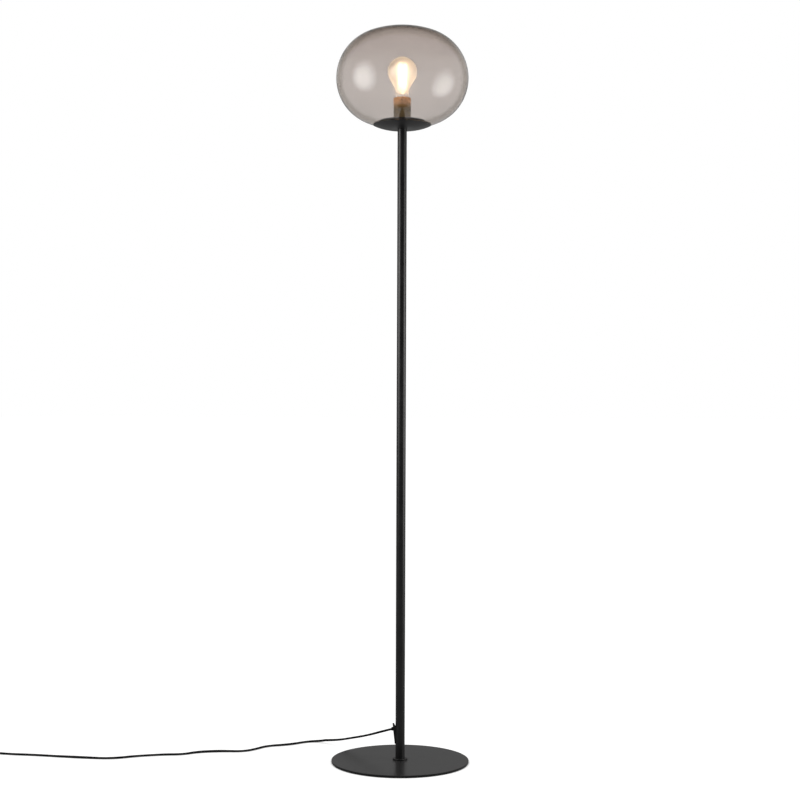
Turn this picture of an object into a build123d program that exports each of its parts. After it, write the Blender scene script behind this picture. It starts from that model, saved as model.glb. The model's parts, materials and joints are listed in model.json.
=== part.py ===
from build123d import *
import os
from math import acos, atan2, cos, degrees, pi, radians, sin, sqrt, tan

os.makedirs("parts", exist_ok=True)

# Globe floor lamp. Millimetres, +Z up, origin on the floor under the centre of the base.
# The pole stands on the Z axis, and the mains lead leaves it towards -X.

# ---------------------------------------------------------------- driving dimensions
# Base
plate_diameter = 280.0
plate_thickness = 4.0
plate_edge = 0.6
pad_inset = 1.0
pad_thickness = 1.0
pad_hole_diameter = 20.0
base_screw_diameter = 6.0
base_screw_length = 20.0
base_screw_sink = 0.2
base_screw_land = 0.3
base_screw_clearance = 0.3
hex_key = 4.0
hex_key_depth = 2.2
# Pole and the plugs in its two ends
pole_diameter = 19.0
pole_wall = 1.5
pole_length = 1283.5
foot_flange_diameter = 30.0
foot_flange_thickness = 3.0
foot_spigot = 25.0
top_plug_length = 22.0
plug_slack = 0.05
thread_slack = 0.05
# Cable outlet on the pole's flank
outlet_height = 42.5
outlet_width = 9.0
outlet_bottom = 37.0
outlet_foot = 1.5
outlet_lean = 6.2
outlet_thickness = 3.2
outlet_saddle = 36.0
outlet_tip_edge = 1.5
outlet_stem_height = 12.0
outlet_stem_width = 6.4
outlet_stem_reach = 2.7
outlet_slack = 0.1
outlet_bore_height = 68.0
exit_sleeve_length = 7.0
exit_sleeve_root = 4.2
exit_sleeve_tip = 3.3
exit_reach = 7.1
exit_side = 5.8
exit_drop = 2.0
# Dish under the glass
dish_margin = 3.5
dish_land_margin = 0.1
dish_rise = 9.2
dish_sheet = 1.0
dish_lip = 0.4
# Ring that centres the glass
locator_clearance = 3.5
locator_land_margin = 0.3
locator_height = 17.5
locator_gap = 1.25
locator_sheet = 1.0
locator_edge = 0.4
# Glass
glass_diameter = 270.0
glass_wall = 2.5
crown_radius = 206.6
crown_belly_radius = 98.0
bowl_radius = 196.0
bowl_belly_radius = 94.0
glass_mouth = 100.0
mouth_chamfer = 0.6
glass_gap = 0.3
gasket_inset = 0.8
gasket_width = 5.2
gasket_thickness = 0.82
seat_gap = 0.02
# Hollow threaded tube that clamps the head together
nipple_diameter = 10.0
nipple_bore = 8.0
nipple_in_plug = 17.0
washer_diameter = 18.0
washer_thickness = 0.8
nut_across_flats = 14.0
nut_thickness = 3.5
nipple_stub = 1.6
# Lampholder
holder_diameter = 35.6
holder_wall = 1.0
holder_floor = 1.5
holder_height = 62.0
holder_mouth_margin = 1.1
holder_edge = 1.5
insert_slack = 0.2
insert_floor = 22.0
insert_clearance = 0.4
cable_way = 8.4
shell_clearance = 0.3
shell_wall = 0.5
contact_width = 5.0
contact_sheet = 0.5
# Bulb
bulb_length = 104.0
bulb_diameter = 60.0
bulb_wall = 0.8
bulb_seat = 20.0
cap_diameter = 26.4
cap_wall = 0.3
cap_length = 27.0
eyelet_diameter = 9.5
eyelet_height = 1.5
insulator_height = 3.5
contact_gap = 0.3
filament_length = 42.0
filament_drop = 7.0
filament_radius = 0.9
filament_count = 4
filament_circle = 7.0
support_wire = 0.6
support_rod = 0.7
# Mains lead, a flat twin whose width is the tube's diameter here
cord_diameter = 5.2
cord_floor_gap = 0.1
inner_cable_gap = 0.3
inner_cable_bend = 120.0
coil_turn_gap = 0.5
coil_mean_diameter = 57.2
coil_distance = 57.2
coil_half_turns_per_layer = 4
coil_climb_slope = 0.12
# In-line foot switch
switch_x = -878.0
switch_y = -47.0
switch_length = 86.0
switch_width = 34.0
switch_end_radius = 7.0
switch_height = 18.0
switch_split = 6.5
switch_wall = 1.8
switch_edge = 3.5
sleeve_length = 18.0
sleeve_root = 4.8
sleeve_tip = 3.4
sleeve_neck = 3.9
sleeve_flange_thickness = 2.0
sleeve_flange_gap = 0.4
sleeve_slack = 0.1
button_diameter = 22.0
button_proud = 4.0
button_gap = 0.3
button_flange = 1.8
button_travel = 2.5
button_dome = 1.0
plunger_diameter = 6.0
spring_wire = 0.9
spring_diameter = 9.0
mechanism_height = 6.2
mechanism_length = 24.0
mechanism_width = 20.0
terminal_size = 7.0
terminal_width = 12.0
terminal_gap = 3.5
terminal_screw = 3.0
blade_sheet = 0.5
blade_width = 5.0
boss_gap = 1.5
boss_side = 5.2
boss_radius = 3.0
shell_screw = 2.6
shell_screw_head = 4.0
shell_screw_sink = 0.6
shell_head_height = 1.8
shell_screw_depth = 9.0
# Plug, flat two-pin pattern
plug_x = -948.0
plug_tail_y = -104.0
plug_tail = 22.0
plug_body_length = 35.3
plug_width = 26.1
plug_thickness = 13.7
plug_shoulder = 14.0
plug_taper = 13.0
plug_corner = 3.0
plug_edge = 2.2
plug_tail_tip = 3.4
plug_tail_root = 5.0
pin_spacing = 19.0
pin_length = 19.0
pin_diameter = 4.0
pin_tip = 0.8

# ---------------------------------------------------------------- heights that follow
plate_bottom = pad_thickness
plate_top = plate_bottom + plate_thickness
pole_bottom = plate_top + foot_flange_thickness
pole_top = pole_bottom + pole_length
pole_radius = pole_diameter / 2
pole_bore = pole_radius - pole_wall
plug_radius = pole_bore - plug_slack
dish_floor = pole_top + dish_sheet
locator_floor = dish_floor + locator_sheet
holder_inside = locator_floor + holder_floor
holder_top = locator_floor + holder_height
nut_top = holder_inside + washer_thickness + nut_thickness
bulb_bottom = holder_top - bulb_seat
cap_bottom = bulb_bottom + eyelet_height + insulator_height
cap_top = bulb_bottom + cap_length
bulb_top = bulb_bottom + bulb_length

# ---------------------------------------------------------------- base
with BuildPart() as pad:
    with BuildSketch():
        Circle(plate_diameter / 2 - pad_inset)
        Circle(pad_hole_diameter / 2, mode=Mode.SUBTRACT)
    extrude(amount=pad_thickness)
pad.part.label = "base_pad"
export_step(pad.part, "parts/base_pad.step")

screw_radius = base_screw_diameter / 2
screw_cone = plate_thickness - base_screw_sink - base_screw_land
screw_head_radius = screw_radius + screw_cone
with BuildPart() as plate:
    with BuildSketch(Plane.XY.offset(plate_bottom)):
        Circle(plate_diameter / 2)
    extrude(amount=plate_thickness)
    fillet(plate.edges().filter_by(GeomType.CIRCLE), plate_edge)
    with Locations(Plane.XY.offset(plate_bottom).rotated((180, 0, 0))):
        CounterSinkHole(
            screw_radius + base_screw_clearance, screw_head_radius + base_screw_clearance, plate_thickness
        )
plate.part.label = "base_plate"
export_step(plate.part, "parts/base_plate.step")

screw_face = plate_bottom + base_screw_sink
with BuildPart() as base_screw:
    with BuildSketch(Plane.XY.offset(screw_face)):
        Circle(screw_head_radius)
    with BuildSketch(Plane.XY.offset(screw_face + screw_cone)):
        Circle(screw_radius)
    loft()
    with BuildSketch(Plane.XY.offset(screw_face + screw_cone)):
        Circle(screw_radius)
    extrude(amount=base_screw_length - screw_cone)
    chamfer(base_screw.faces().sort_by(Axis.Z)[-1].edges(), 0.6)
    with BuildSketch(Plane.XY.offset(screw_face)):
        RegularPolygon(hex_key / 2, 6, major_radius=False)
    extrude(amount=hex_key_depth, mode=Mode.SUBTRACT)
base_screw.part.label = "base_screw"
export_step(base_screw.part, "parts/base_screw.step")

# ---------------------------------------------------------------- pole
# Turned foot: its flange is the small collar on the plate, its spigot fills the tube's end.
with BuildPart() as foot:
    with BuildSketch(Plane.XY.offset(plate_top)):
        Circle(foot_flange_diameter / 2)
    extrude(amount=foot_flange_thickness)
    fillet(foot.edges().group_by(Axis.Z)[-1], 0.6)
    with BuildSketch(Plane.XY.offset(pole_bottom)):
        Circle(plug_radius)
    extrude(amount=foot_spigot)
    chamfer(foot.edges().group_by(Axis.Z)[-1], 1.0)
    with Locations((0, 0, plate_top)):
        Hole(screw_radius + thread_slack, depth=base_screw_length + 1.0)
foot.part.label = "pole_foot"
export_step(foot.part, "parts/pole_foot.step")

stem_middle = outlet_bore_height - 1.0
flank = Plane(origin=(0, 0, stem_middle), x_dir=(0, 0, 1), z_dir=(-1, 0, 0))
with BuildPart() as pole:
    with BuildSketch(Plane.XY.offset(pole_bottom)):
        Circle(pole_radius)
        Circle(pole_bore, mode=Mode.SUBTRACT)
    extrude(amount=pole_length)
    with BuildSketch(flank):
        SlotOverall(outlet_stem_height + 2 * outlet_slack, outlet_stem_width + 2 * outlet_slack)
    extrude(amount=pole_diameter, mode=Mode.SUBTRACT)
pole.part.label = "pole_tube"
export_step(pole.part, "parts/pole_tube.step")

with BuildPart() as top_plug:
    with BuildSketch(Plane.XY.offset(pole_top - top_plug_length)):
        Circle(plug_radius)
        Circle(nipple_diameter / 2 + thread_slack, mode=Mode.SUBTRACT)
    extrude(amount=top_plug_length)
    chamfer(top_plug.edges().group_by(Axis.Z)[0], 0.8)
top_plug.part.label = "pole_top_plug"
export_step(top_plug.part, "parts/pole_top_plug.step")

# ---------------------------------------------------------------- cable outlet
# A slim moulded tongue lies along the flank and leans away from it at the top. Its stem fills
# the slot in the tube, and a short sleeve on its outer face lets the lead out.
cord_exit = Vector(-pole_radius - exit_reach, exit_side, outlet_bore_height - exit_drop)
first_bend = Vector(-34, 34, 56)
exit_direction = (first_bend - cord_exit).normalized()
lean = tan(radians(outlet_lean))
outlet_top = outlet_bottom + outlet_height
foot_x = -pole_radius - outlet_foot
tip_x = foot_x - outlet_height * lean
sleeve_start = cord_exit - exit_direction * exit_sleeve_length
outlet_middle = outlet_bottom + outlet_height / 2
outlet_face = Plane(origin=(0, 0, outlet_middle), x_dir=(0, 0, 1), z_dir=(-1, 0, 0))
with BuildPart() as outlet:
    with BuildSketch(Plane.XZ):
        with BuildLine():
            Polyline(
                (0, outlet_bottom),
                (foot_x, outlet_bottom),
                (tip_x, outlet_top),
                (tip_x + outlet_thickness, outlet_top),
                (tip_x + outlet_thickness, outlet_top - outlet_tip_edge),
                (-pole_radius, outlet_bottom + outlet_saddle),
                (0, outlet_bottom + outlet_saddle),
                close=True,
            )
        make_face()
    extrude(amount=outlet_width / 2, both=True)
    with BuildSketch(outlet_face):
        SlotOverall(outlet_height, outlet_width)
    extrude(amount=2 * pole_diameter, mode=Mode.INTERSECT)
    with BuildSketch(Plane.XY):
        Circle(pole_radius)
    extrude(amount=2 * outlet_top, mode=Mode.SUBTRACT)
    with BuildSketch(flank.offset(pole_radius - outlet_stem_reach)):
        SlotOverall(outlet_stem_height, outlet_stem_width)
    extrude(amount=outlet_stem_reach + outlet_foot)
    with BuildSketch(Plane(origin=sleeve_start, z_dir=exit_direction)):
        Circle(exit_sleeve_root)
    with BuildSketch(Plane(origin=cord_exit, z_dir=exit_direction)):
        Circle(exit_sleeve_tip)
    loft()
outlet.part.label = "cable_outlet"
export_step(outlet.part, "parts/cable_outlet.step")

# ---------------------------------------------------------------- dish and locating ring
locator_land = holder_diameter / 2 + locator_land_margin
dish_land = locator_land + dish_land_margin
gasket_inner = glass_mouth / 2 + gasket_inset
gasket_outer = gasket_inner + gasket_width
dish_run = gasket_outer + dish_margin - dish_land
dish_radius = (dish_run**2 + dish_rise**2) / (2 * dish_rise)
dish_angle = degrees(acos(1 - dish_rise / dish_radius))
nipple_hole = nipple_diameter / 2 + 0.2
with BuildPart() as dish:
    with BuildSketch(Plane.XZ) as dish_section:
        with BuildLine():
            centre = (dish_land, pole_top + dish_radius)
            outside = CenterArc(centre, dish_radius, -90, dish_angle)
            inside = CenterArc(centre, dish_radius - dish_sheet, -90, dish_angle)
            Line(outside @ 1, inside @ 1)
            Polyline(outside @ 0, (nipple_hole, pole_top), (nipple_hole, dish_floor), inside @ 0)
        make_face()
        fillet(dish_section.vertices().group_by(Axis.X)[-1], dish_lip)
    revolve(axis=Axis.Z)
dish.part.label = "dish"
export_step(dish.part, "parts/dish.step")


def dish_inside(radius):
    """Height of the dish's inner face at a radius."""
    run = radius - dish_land
    return pole_top + dish_radius - sqrt((dish_radius - dish_sheet) ** 2 - run**2)


# Pressed ring: flat where it is clamped, a shallow cone, then an upright flange inside the mouth.
with BuildPart() as locator:
    with BuildSketch(Plane.XZ) as locator_section:
        with BuildLine():
            rim = glass_mouth / 2 - locator_clearance
            knee = dish_inside(rim) + locator_gap
            Polyline(
                (nipple_hole, dish_floor),
                (locator_land, dish_floor),
                (rim, knee),
                (rim, dish_floor + locator_height),
                (rim - locator_sheet, dish_floor + locator_height),
                (rim - locator_sheet, knee + locator_sheet),
                (locator_land, locator_floor),
                (nipple_hole, locator_floor),
                close=True,
            )
        make_face()
    revolve(axis=Axis.Z)
    fillet(locator.edges().filter_by(GeomType.CIRCLE).group_by(Axis.Z)[-1], locator_edge)
locator.part.label = "glass_locator"
export_step(locator.part, "parts/glass_locator.step")


# ---------------------------------------------------------------- glass globe
reach = glass_diameter / 2


def cap_rise(cap_radius, belly_radius):
    """Height above the equator of a cap whose arc runs on from the belly's arc."""
    return cap_radius - sqrt((cap_radius - belly_radius) ** 2 - (reach - belly_radius) ** 2)


def cap_turn(cap_radius, belly_radius):
    """Angle above the equator at which the belly's arc hands over to the cap's."""
    return degrees(acos((reach - belly_radius) / (cap_radius - belly_radius)))


# The bowl rests on the soft ring, and that sets the height of the whole glass.
seat_radius = (gasket_inner + gasket_outer) / 2
seat_height = dish_inside(seat_radius) + seat_gap + gasket_thickness + glass_gap
bowl_centre = (0, seat_height + sqrt(bowl_radius**2 - seat_radius**2))
equator = bowl_centre[1] - bowl_radius + cap_rise(bowl_radius, bowl_belly_radius)
glass_top = equator + cap_rise(crown_radius, crown_belly_radius)
crown_centre = (0, glass_top - crown_radius)
crown_turn = cap_turn(crown_radius, crown_belly_radius)
bowl_turn = cap_turn(bowl_radius, bowl_belly_radius)
mouth_turn = degrees(acos(glass_mouth / 2 / bowl_radius))
print(f"equator {equator:.1f} mm, overall height {glass_top:.1f} mm, bulb top {bulb_top:.1f} mm")


def glass_outside(radius):
    """Height of the bowl's outer face at a radius, near the mouth."""
    return bowl_centre[1] - sqrt(bowl_radius**2 - radius**2)


def globe_arcs(inset):
    """The globe's outline from crown to mouth, moved in by a wall."""
    crown = CenterArc(crown_centre, crown_radius - inset, 90, crown_turn - 90)
    CenterArc((reach - crown_belly_radius, equator), crown_belly_radius - inset, crown_turn, -crown_turn)
    CenterArc((reach - bowl_belly_radius, equator), bowl_belly_radius - inset, 0, -bowl_turn)
    bowl = CenterArc(bowl_centre, bowl_radius - inset, -bowl_turn, bowl_turn - mouth_turn)
    return crown @ 0, bowl @ 1


with BuildPart() as globe:
    with BuildSketch(Plane.XZ) as globe_section:
        with BuildLine():
            outer_crown, outer_mouth = globe_arcs(0)
            inner_crown, inner_mouth = globe_arcs(glass_wall)
            Line(outer_crown, inner_crown)
            Line(outer_mouth, inner_mouth)
        make_face()
        lip = globe_section.vertices().group_by(Axis.Y)
        chamfer(lip[0] + lip[1], mouth_chamfer)
    revolve(axis=Axis.Z)
globe.part.label = "glass_globe"
export_step(globe.part, "parts/glass_globe.step")

# Soft ring between dish and glass: four corners taken from the two faces it lies between.
with BuildPart() as gasket:
    with BuildSketch(Plane.XZ):
        with BuildLine():
            Polyline(
                (gasket_inner, dish_inside(gasket_inner) + seat_gap),
                (gasket_outer, dish_inside(gasket_outer) + seat_gap),
                (gasket_outer, glass_outside(gasket_outer) - glass_gap),
                (gasket_inner, glass_outside(gasket_inner) - glass_gap),
                close=True,
            )
        make_face()
    revolve(axis=Axis.Z)
gasket.part.label = "glass_gasket"
export_step(gasket.part, "parts/glass_gasket.step")

# ---------------------------------------------------------------- clamping hardware
with BuildPart() as nipple:
    with BuildSketch(Plane.XY.offset(pole_top - nipple_in_plug)):
        Circle(nipple_diameter / 2)
        Circle(nipple_bore / 2, mode=Mode.SUBTRACT)
    extrude(amount=nut_top + nipple_stub - (pole_top - nipple_in_plug))
nipple.part.label = "threaded_nipple"
export_step(nipple.part, "parts/threaded_nipple.step")

with BuildPart() as washer:
    with BuildSketch(Plane.XY.offset(holder_inside)):
        Circle(washer_diameter / 2)
        Circle(nipple_hole, mode=Mode.SUBTRACT)
    extrude(amount=washer_thickness)
washer.part.label = "lock_washer"
export_step(washer.part, "parts/lock_washer.step")

with BuildPart() as nut:
    with BuildSketch(Plane.XY.offset(holder_inside + washer_thickness)):
        RegularPolygon(nut_across_flats / 2, 6, major_radius=False)
        Circle(nipple_diameter / 2 + thread_slack, mode=Mode.SUBTRACT)
    extrude(amount=nut_thickness)
nut.part.label = "clamp_nut"
export_step(nut.part, "parts/clamp_nut.step")

# ---------------------------------------------------------------- lampholder
cover_radius = holder_diameter / 2
shell_bore = cap_diameter / 2 + shell_clearance
with BuildPart() as cover:
    with BuildSketch(Plane.XY.offset(locator_floor)):
        Circle(cover_radius)
    extrude(amount=holder_height)
    fillet(cover.edges().group_by(Axis.Z)[-1], holder_edge)
    with BuildSketch(Plane.XY.offset(holder_inside)):
        Circle(cover_radius - holder_wall)
    extrude(amount=holder_height - holder_floor - holder_wall, mode=Mode.SUBTRACT)
    with Locations((0, 0, holder_top)):
        Hole(shell_bore + holder_mouth_margin, depth=2 * holder_wall)
    with Locations((0, 0, holder_inside)):
        Hole(nipple_hole, depth=holder_floor)
cover.part.label = "holder_cover"
export_step(cover.part, "parts/holder_cover.step")

insert_bottom = nut_top + nipple_stub + insert_clearance
insert_top = holder_top - holder_wall - insert_slack
insert_radius = cover_radius - holder_wall - insert_slack
shell_radius = shell_bore + shell_wall
shell_bottom = insert_bottom + insert_floor
with BuildPart() as insert:
    with BuildSketch(Plane.XY.offset(insert_bottom)):
        Circle(insert_radius)
    extrude(amount=insert_top - insert_bottom)
    with Locations((0, 0, insert_top)):
        Hole(shell_radius + thread_slack, depth=insert_top - shell_bottom)
    with Locations((0, 0, insert_bottom + insert_floor / 2)):
        Hole(cable_way / 2, depth=insert_floor / 2)
    chamfer(insert.edges().group_by(Axis.Z)[-1], 0.4)
insert.part.label = "holder_insert"
export_step(insert.part, "parts/holder_insert.step")

with BuildPart() as shell:
    with BuildSketch(Plane.XY.offset(shell_bottom + 0.05)):
        Circle(shell_radius)
        Circle(shell_bore, mode=Mode.SUBTRACT)
    extrude(amount=insert_top - shell_bottom - 1.0)
shell.part.label = "holder_shell"
export_step(shell.part, "parts/holder_shell.step")

# Centre contact: a strip that springs up from the insert's floor to the cap's eyelet.
contact_top = bulb_bottom - contact_gap
contact_foot = shell_bottom + contact_sheet / 2 + seat_gap
with BuildPart() as contact:
    with BuildSketch(Plane.XZ) as contact_section:
        with BuildLine():
            FilletPolyline(
                (-8.0, contact_foot),
                (6.5, contact_foot),
                (4.0, contact_top - contact_sheet / 2),
                (-3.0, contact_top - contact_sheet / 2),
                radius=1.0,
            )
        trace(line_width=contact_sheet)
    extrude(amount=contact_width / 2, both=True)
contact.part.label = "holder_contact"
export_step(contact.part, "parts/holder_contact.step")

# ---------------------------------------------------------------- inner cable
cord_radius = cord_diameter / 2
inner_path_points = (
    (outlet_stem_reach + inner_cable_gap + cord_radius - pole_radius, 0, outlet_bore_height - 6.0),
    (0, 0, outlet_bore_height + 32.0),
    (0, 0, insert_bottom + insert_floor / 2),
)
with BuildPart() as inner_cable:
    with BuildLine() as inner_path:
        FilletPolyline(*inner_path_points, radius=inner_cable_bend)
    with BuildSketch(Plane(origin=inner_path.line @ 0, z_dir=inner_path.line % 0)):
        Circle(cord_radius)
    sweep()
inner_cable.part.label = "inner_cable"
export_step(inner_cable.part, "parts/inner_cable.step")

# ---------------------------------------------------------------- bulb
with BuildPart() as eyelet:
    with BuildSketch(Plane.XY.offset(bulb_bottom)):
        Circle(eyelet_diameter / 2)
    extrude(amount=eyelet_height)
    fillet(eyelet.edges().group_by(Axis.Z)[0], 0.8)
eyelet.part.label = "bulb_eyelet"
export_step(eyelet.part, "parts/bulb_eyelet.step")

insulator_bottom = bulb_bottom + eyelet_height
with BuildPart() as insulator:
    with BuildSketch(Plane.XY.offset(insulator_bottom)):
        Circle(eyelet_diameter / 2 + 0.8)
    with BuildSketch(Plane.XY.offset(cap_bottom)):
        Circle(cap_diameter / 2 - 1.0)
    loft()
insulator.part.label = "bulb_insulator"
export_step(insulator.part, "parts/bulb_insulator.step")

cap_radius = cap_diameter / 2
with BuildPart() as cap:
    with BuildSketch(Plane.XY.offset(cap_bottom)):
        Circle(cap_radius)
        Circle(cap_radius - cap_wall, mode=Mode.SUBTRACT)
    extrude(amount=cap_top - cap_bottom)
cap.part.label = "bulb_cap"
export_step(cap.part, "parts/bulb_cap.step")

# Pear outline: a ball on top, a smooth flare into the neck that the cap holds.
ball_radius = bulb_diameter / 2
ball_centre = bulb_top - ball_radius
neck_bottom = cap_top - 4.0
neck_radius = cap_radius - cap_wall - 0.1
flare_turn = 28.0


def bulb_outline(inset):
    """Bulb outline from crown to neck, moved in by a wall."""
    ball = CenterArc((0, ball_centre), ball_radius - inset, 90, -90 - flare_turn)
    neck = Line((neck_radius - inset, cap_top + 1.0), (neck_radius - inset, neck_bottom))
    Spline(ball @ 1, neck @ 0, tangents=(ball % 1, neck % 0))
    return ball @ 0, neck @ 1


with BuildPart() as envelope:
    with BuildSketch(Plane.XZ):
        with BuildLine():
            outer_top, outer_neck = bulb_outline(0)
            inner_top, inner_neck = bulb_outline(bulb_wall)
            Line(outer_top, inner_top)
            Line(outer_neck, inner_neck)
        make_face()
    revolve(axis=Axis.Z)
envelope.part.label = "bulb_envelope"
export_step(envelope.part, "parts/bulb_envelope.step")

# Pinched glass stem with a central rod. Two crosses of wire on it hold the upright filaments.
filament_middle = ball_centre - filament_drop
filament_bottom = filament_middle - filament_length / 2
filament_top = filament_middle + filament_length / 2
pinch_top = filament_bottom - 1.5
with BuildPart() as stem:
    with BuildSketch(Plane.XZ):
        with BuildLine():
            Polyline(
                (0, neck_bottom),
                (neck_radius - bulb_wall - 0.3, neck_bottom),
                (6.0, neck_bottom + 9.0),
                (2.6, neck_bottom + 14.0),
                (2.6, pinch_top - 2.0),
                (4.2, pinch_top),
                (0, pinch_top + 1.0),
                close=True,
            )
        make_face()
    revolve(axis=Axis.Z)
    with BuildSketch(Plane.XY.offset(pinch_top)):
        Circle(support_rod)
    extrude(amount=filament_top + 2 * support_wire - pinch_top)
    for wire_bottom in (filament_bottom - support_wire, filament_top):
        with BuildSketch(Plane.XY.offset(wire_bottom)):
            with PolarLocations(filament_circle / 2, filament_count, start_angle=45):
                Rectangle(filament_circle, support_wire)
        extrude(amount=support_wire)
stem.part.label = "bulb_stem"
export_step(stem.part, "parts/bulb_stem.step")

with BuildPart() as filaments:
    with BuildSketch(Plane.XY.offset(filament_bottom)):
        with PolarLocations(filament_circle, filament_count, start_angle=45):
            Circle(filament_radius)
    extrude(amount=filament_length)
filaments.part.label = "bulb_filaments"
export_step(filaments.part, "parts/bulb_filaments.step")

# ---------------------------------------------------------------- mains lead
floor_z = cord_radius + cord_floor_gap
run_share = 0.45


def corner_radii(points):
    """Largest tangent arc at each corner that leaves a tenth of the shorter run straight."""
    radii = []
    for before, corner, after in zip(points, points[1:], points[2:]):
        arrive = Vector(corner) - Vector(before)
        leave = Vector(after) - Vector(corner)
        half_turn = radians(arrive.get_angle(leave)) / 2
        radii.append(run_share * min(arrive.length, leave.length) / tan(half_turn))
    return radii


def report_tube(name, tube, route, radii):
    """Print the tube's length, its bends and how its volume compares with its section."""
    expected = pi * cord_radius**2 * route.length
    print(f"{name}: length {route.length:.0f} mm, volume / expected {tube.part.volume / expected:.4f}")
    if radii:
        print("  radii", " ".join(f"{radius:.0f}" for radius in radii))


sleeve_reach = switch_length / 2 + sleeve_length
run_points = [
    tuple(cord_exit),
    tuple(first_bend),
    (-66, 68, 40),
    (-103, 109, 25),
    (-130, 141, 14),
    (-158, 170, 7),
    (-182, 182, 3.8),
    (-205, 175, floor_z),
    (-223, 158, floor_z),
    (-246, 145, floor_z),
    (-284, 134, floor_z),
    (-306, 102, floor_z),
    (-328, 82, floor_z),
    (-374, 84, floor_z),
    (-424, 74, floor_z),
    (-452, 52, floor_z),
    (-492, 50, floor_z),
    (-544, 36, floor_z),
    (-586, 13, floor_z),
    (-636, 17, floor_z),
    (-694, 28, floor_z),
    (-752, 42, floor_z),
    (-812, 50, floor_z),
    (-854, 62, 3.8),
    (switch_x, 42, switch_split),
    (switch_x, switch_y + sleeve_reach, switch_split),
]
run_radii = corner_radii(run_points)
with BuildPart() as cord_run:
    with BuildLine() as run_path:
        FilletPolyline(*run_points, radius=run_radii)
    with BuildSketch(Plane(origin=run_path.line @ 0, z_dir=run_path.line % 0)):
        Circle(cord_radius)
    sweep()
report_tube("cord_run", cord_run, run_path.wire(), run_radii)
cord_run.part.label = "cord_run"
export_step(cord_run.part, "parts/cord_run.step")

# The coil: two layers of turns a diameter apart. It winds inwards on the floor, climbs in the
# half turn where it reverses and winds outwards on top.
turn_step = cord_diameter + coil_turn_gap
coil_outer = coil_mean_diameter / 2 + turn_step
coil_centre = Vector(switch_x - coil_outer, switch_y - sleeve_reach - coil_distance, 0)
coil_half_turns = 2 * coil_half_turns_per_layer + 1
coil_stops = [*range(coil_half_turns + 1), coil_half_turns / 2]
coil_stops.sort()


def coil_node(turned):
    """Place and heading after a count of half turns, going clockwise seen from above."""
    angle = -pi * turned
    radius = coil_outer - min(turned, coil_half_turns - turned) * turn_step / 2
    layer = max(0, min(1, turned - coil_half_turns_per_layer))
    climb = coil_climb_slope if 0 < layer < 1 else 0
    place = Vector(radius * cos(angle), radius * sin(angle), floor_z + layer * turn_step)
    return coil_centre + place, Vector(sin(angle), -cos(angle), climb).normalized()


def biarc(start, heading, end, end_heading):
    """Two arcs with a shared tangent that lead from one place and heading to the next."""
    chord = end - start
    spread = chord.dot(heading + end_heading)
    bend = 2 * (1 - heading.dot(end_heading))
    handle = (sqrt(spread**2 + bend * chord.dot(chord)) - spread) / bend
    first = start + heading * handle
    last = end - end_heading * handle
    middle = (first + last) * 0.5
    TangentArc(start, middle, tangent=heading)
    TangentArc(middle, end, tangent=(last - first).normalized())


coil_start, coil_start_heading = coil_node(0)
coil_end, coil_end_heading = coil_node(coil_half_turns)
coil_entry = coil_start - coil_start_heading * cord_diameter
coil_leave = coil_end + coil_end_heading * cord_diameter
with BuildPart() as cord_coil:
    with BuildLine() as coil_path:
        Line(coil_entry, coil_start)
        for here, there in zip(coil_stops, coil_stops[1:]):
            biarc(*coil_node(here), *coil_node(there))
        Line(coil_end, coil_leave)
    with BuildSketch(Plane(origin=coil_entry, z_dir=coil_start_heading)):
        Circle(cord_radius)
    sweep()
report_tube("cord_coil", cord_coil, coil_path.wire(), [])
samples = 360
coil_wire = coil_path.wire()
spots = [coil_wire @ (step / samples) for step in range(samples + 1)]
apart = int(3 * cord_diameter / coil_wire.length * samples) + 1
self_gap = min(
    (spots[i] - spots[j]).length for i in range(len(spots)) for j in range(i + apart, len(spots))
) - cord_diameter
print(f"cord_coil: least gap to itself {self_gap:.2f} mm")
cord_coil.part.label = "cord_coil"
export_step(cord_coil.part, "parts/cord_coil.step")

# Short stretches on either side of the coil: switch to coil, and coil to plug.
link_start = switch_y - sleeve_reach
link_points = [
    (switch_x, link_start, switch_split),
    (switch_x, link_start - 16, switch_split),
    (switch_x, link_start - 38, floor_z),
    tuple(coil_entry),
]
link_radii = corner_radii(link_points)
with BuildPart() as cord_link:
    with BuildLine() as link_path:
        FilletPolyline(*link_points, radius=link_radii)
    with BuildSketch(Plane(origin=link_path.line @ 0, z_dir=link_path.line % 0)):
        Circle(cord_radius)
    sweep()
report_tube("cord_link", cord_link, link_path.wire(), link_radii)
cord_link.part.label = "cord_link"
export_step(cord_link.part, "parts/cord_link.step")

plug_axis_z = plug_thickness / 2
tail_points = [
    tuple(coil_leave),
    (coil_leave.X, coil_leave.Y + 14, coil_leave.Z),
    (plug_x, plug_tail_y - 15, plug_axis_z),
    (plug_x, plug_tail_y, plug_axis_z),
]
tail_radii = corner_radii(tail_points)
with BuildPart() as cord_tail:
    with BuildLine() as tail_path:
        FilletPolyline(*tail_points, radius=tail_radii)
    with BuildSketch(Plane(origin=tail_path.line @ 0, z_dir=tail_path.line % 0)):
        Circle(cord_radius)
    sweep()
report_tube("cord_tail", cord_tail, tail_path.wire(), tail_radii)
cord_tail.part.label = "cord_tail"
export_step(cord_tail.part, "parts/cord_tail.step")
lead = sum(path.wire().length for path in (run_path, link_path, coil_path, tail_path))
print(f"mains lead: {lead + 2 * sleeve_reach:.0f} mm from outlet to plug, through the switch")

# ---------------------------------------------------------------- foot switch
# Its own axes: X along the lead, Y across, Z up from the floor.
switch_plane = Plane(origin=(switch_x, switch_y, 0), x_dir=(0, 1, 0), z_dir=(0, 0, 1))
end_place = switch_length / 2 - switch_end_radius


def switch_outline(inset):
    """Waisted outline: a round middle drawn out to two narrow ends, moved in by an inset."""
    Circle(switch_width / 2 - inset)
    with Locations((end_place, 0), (-end_place, 0)):
        Circle(switch_end_radius - inset)
    make_hull()


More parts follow.
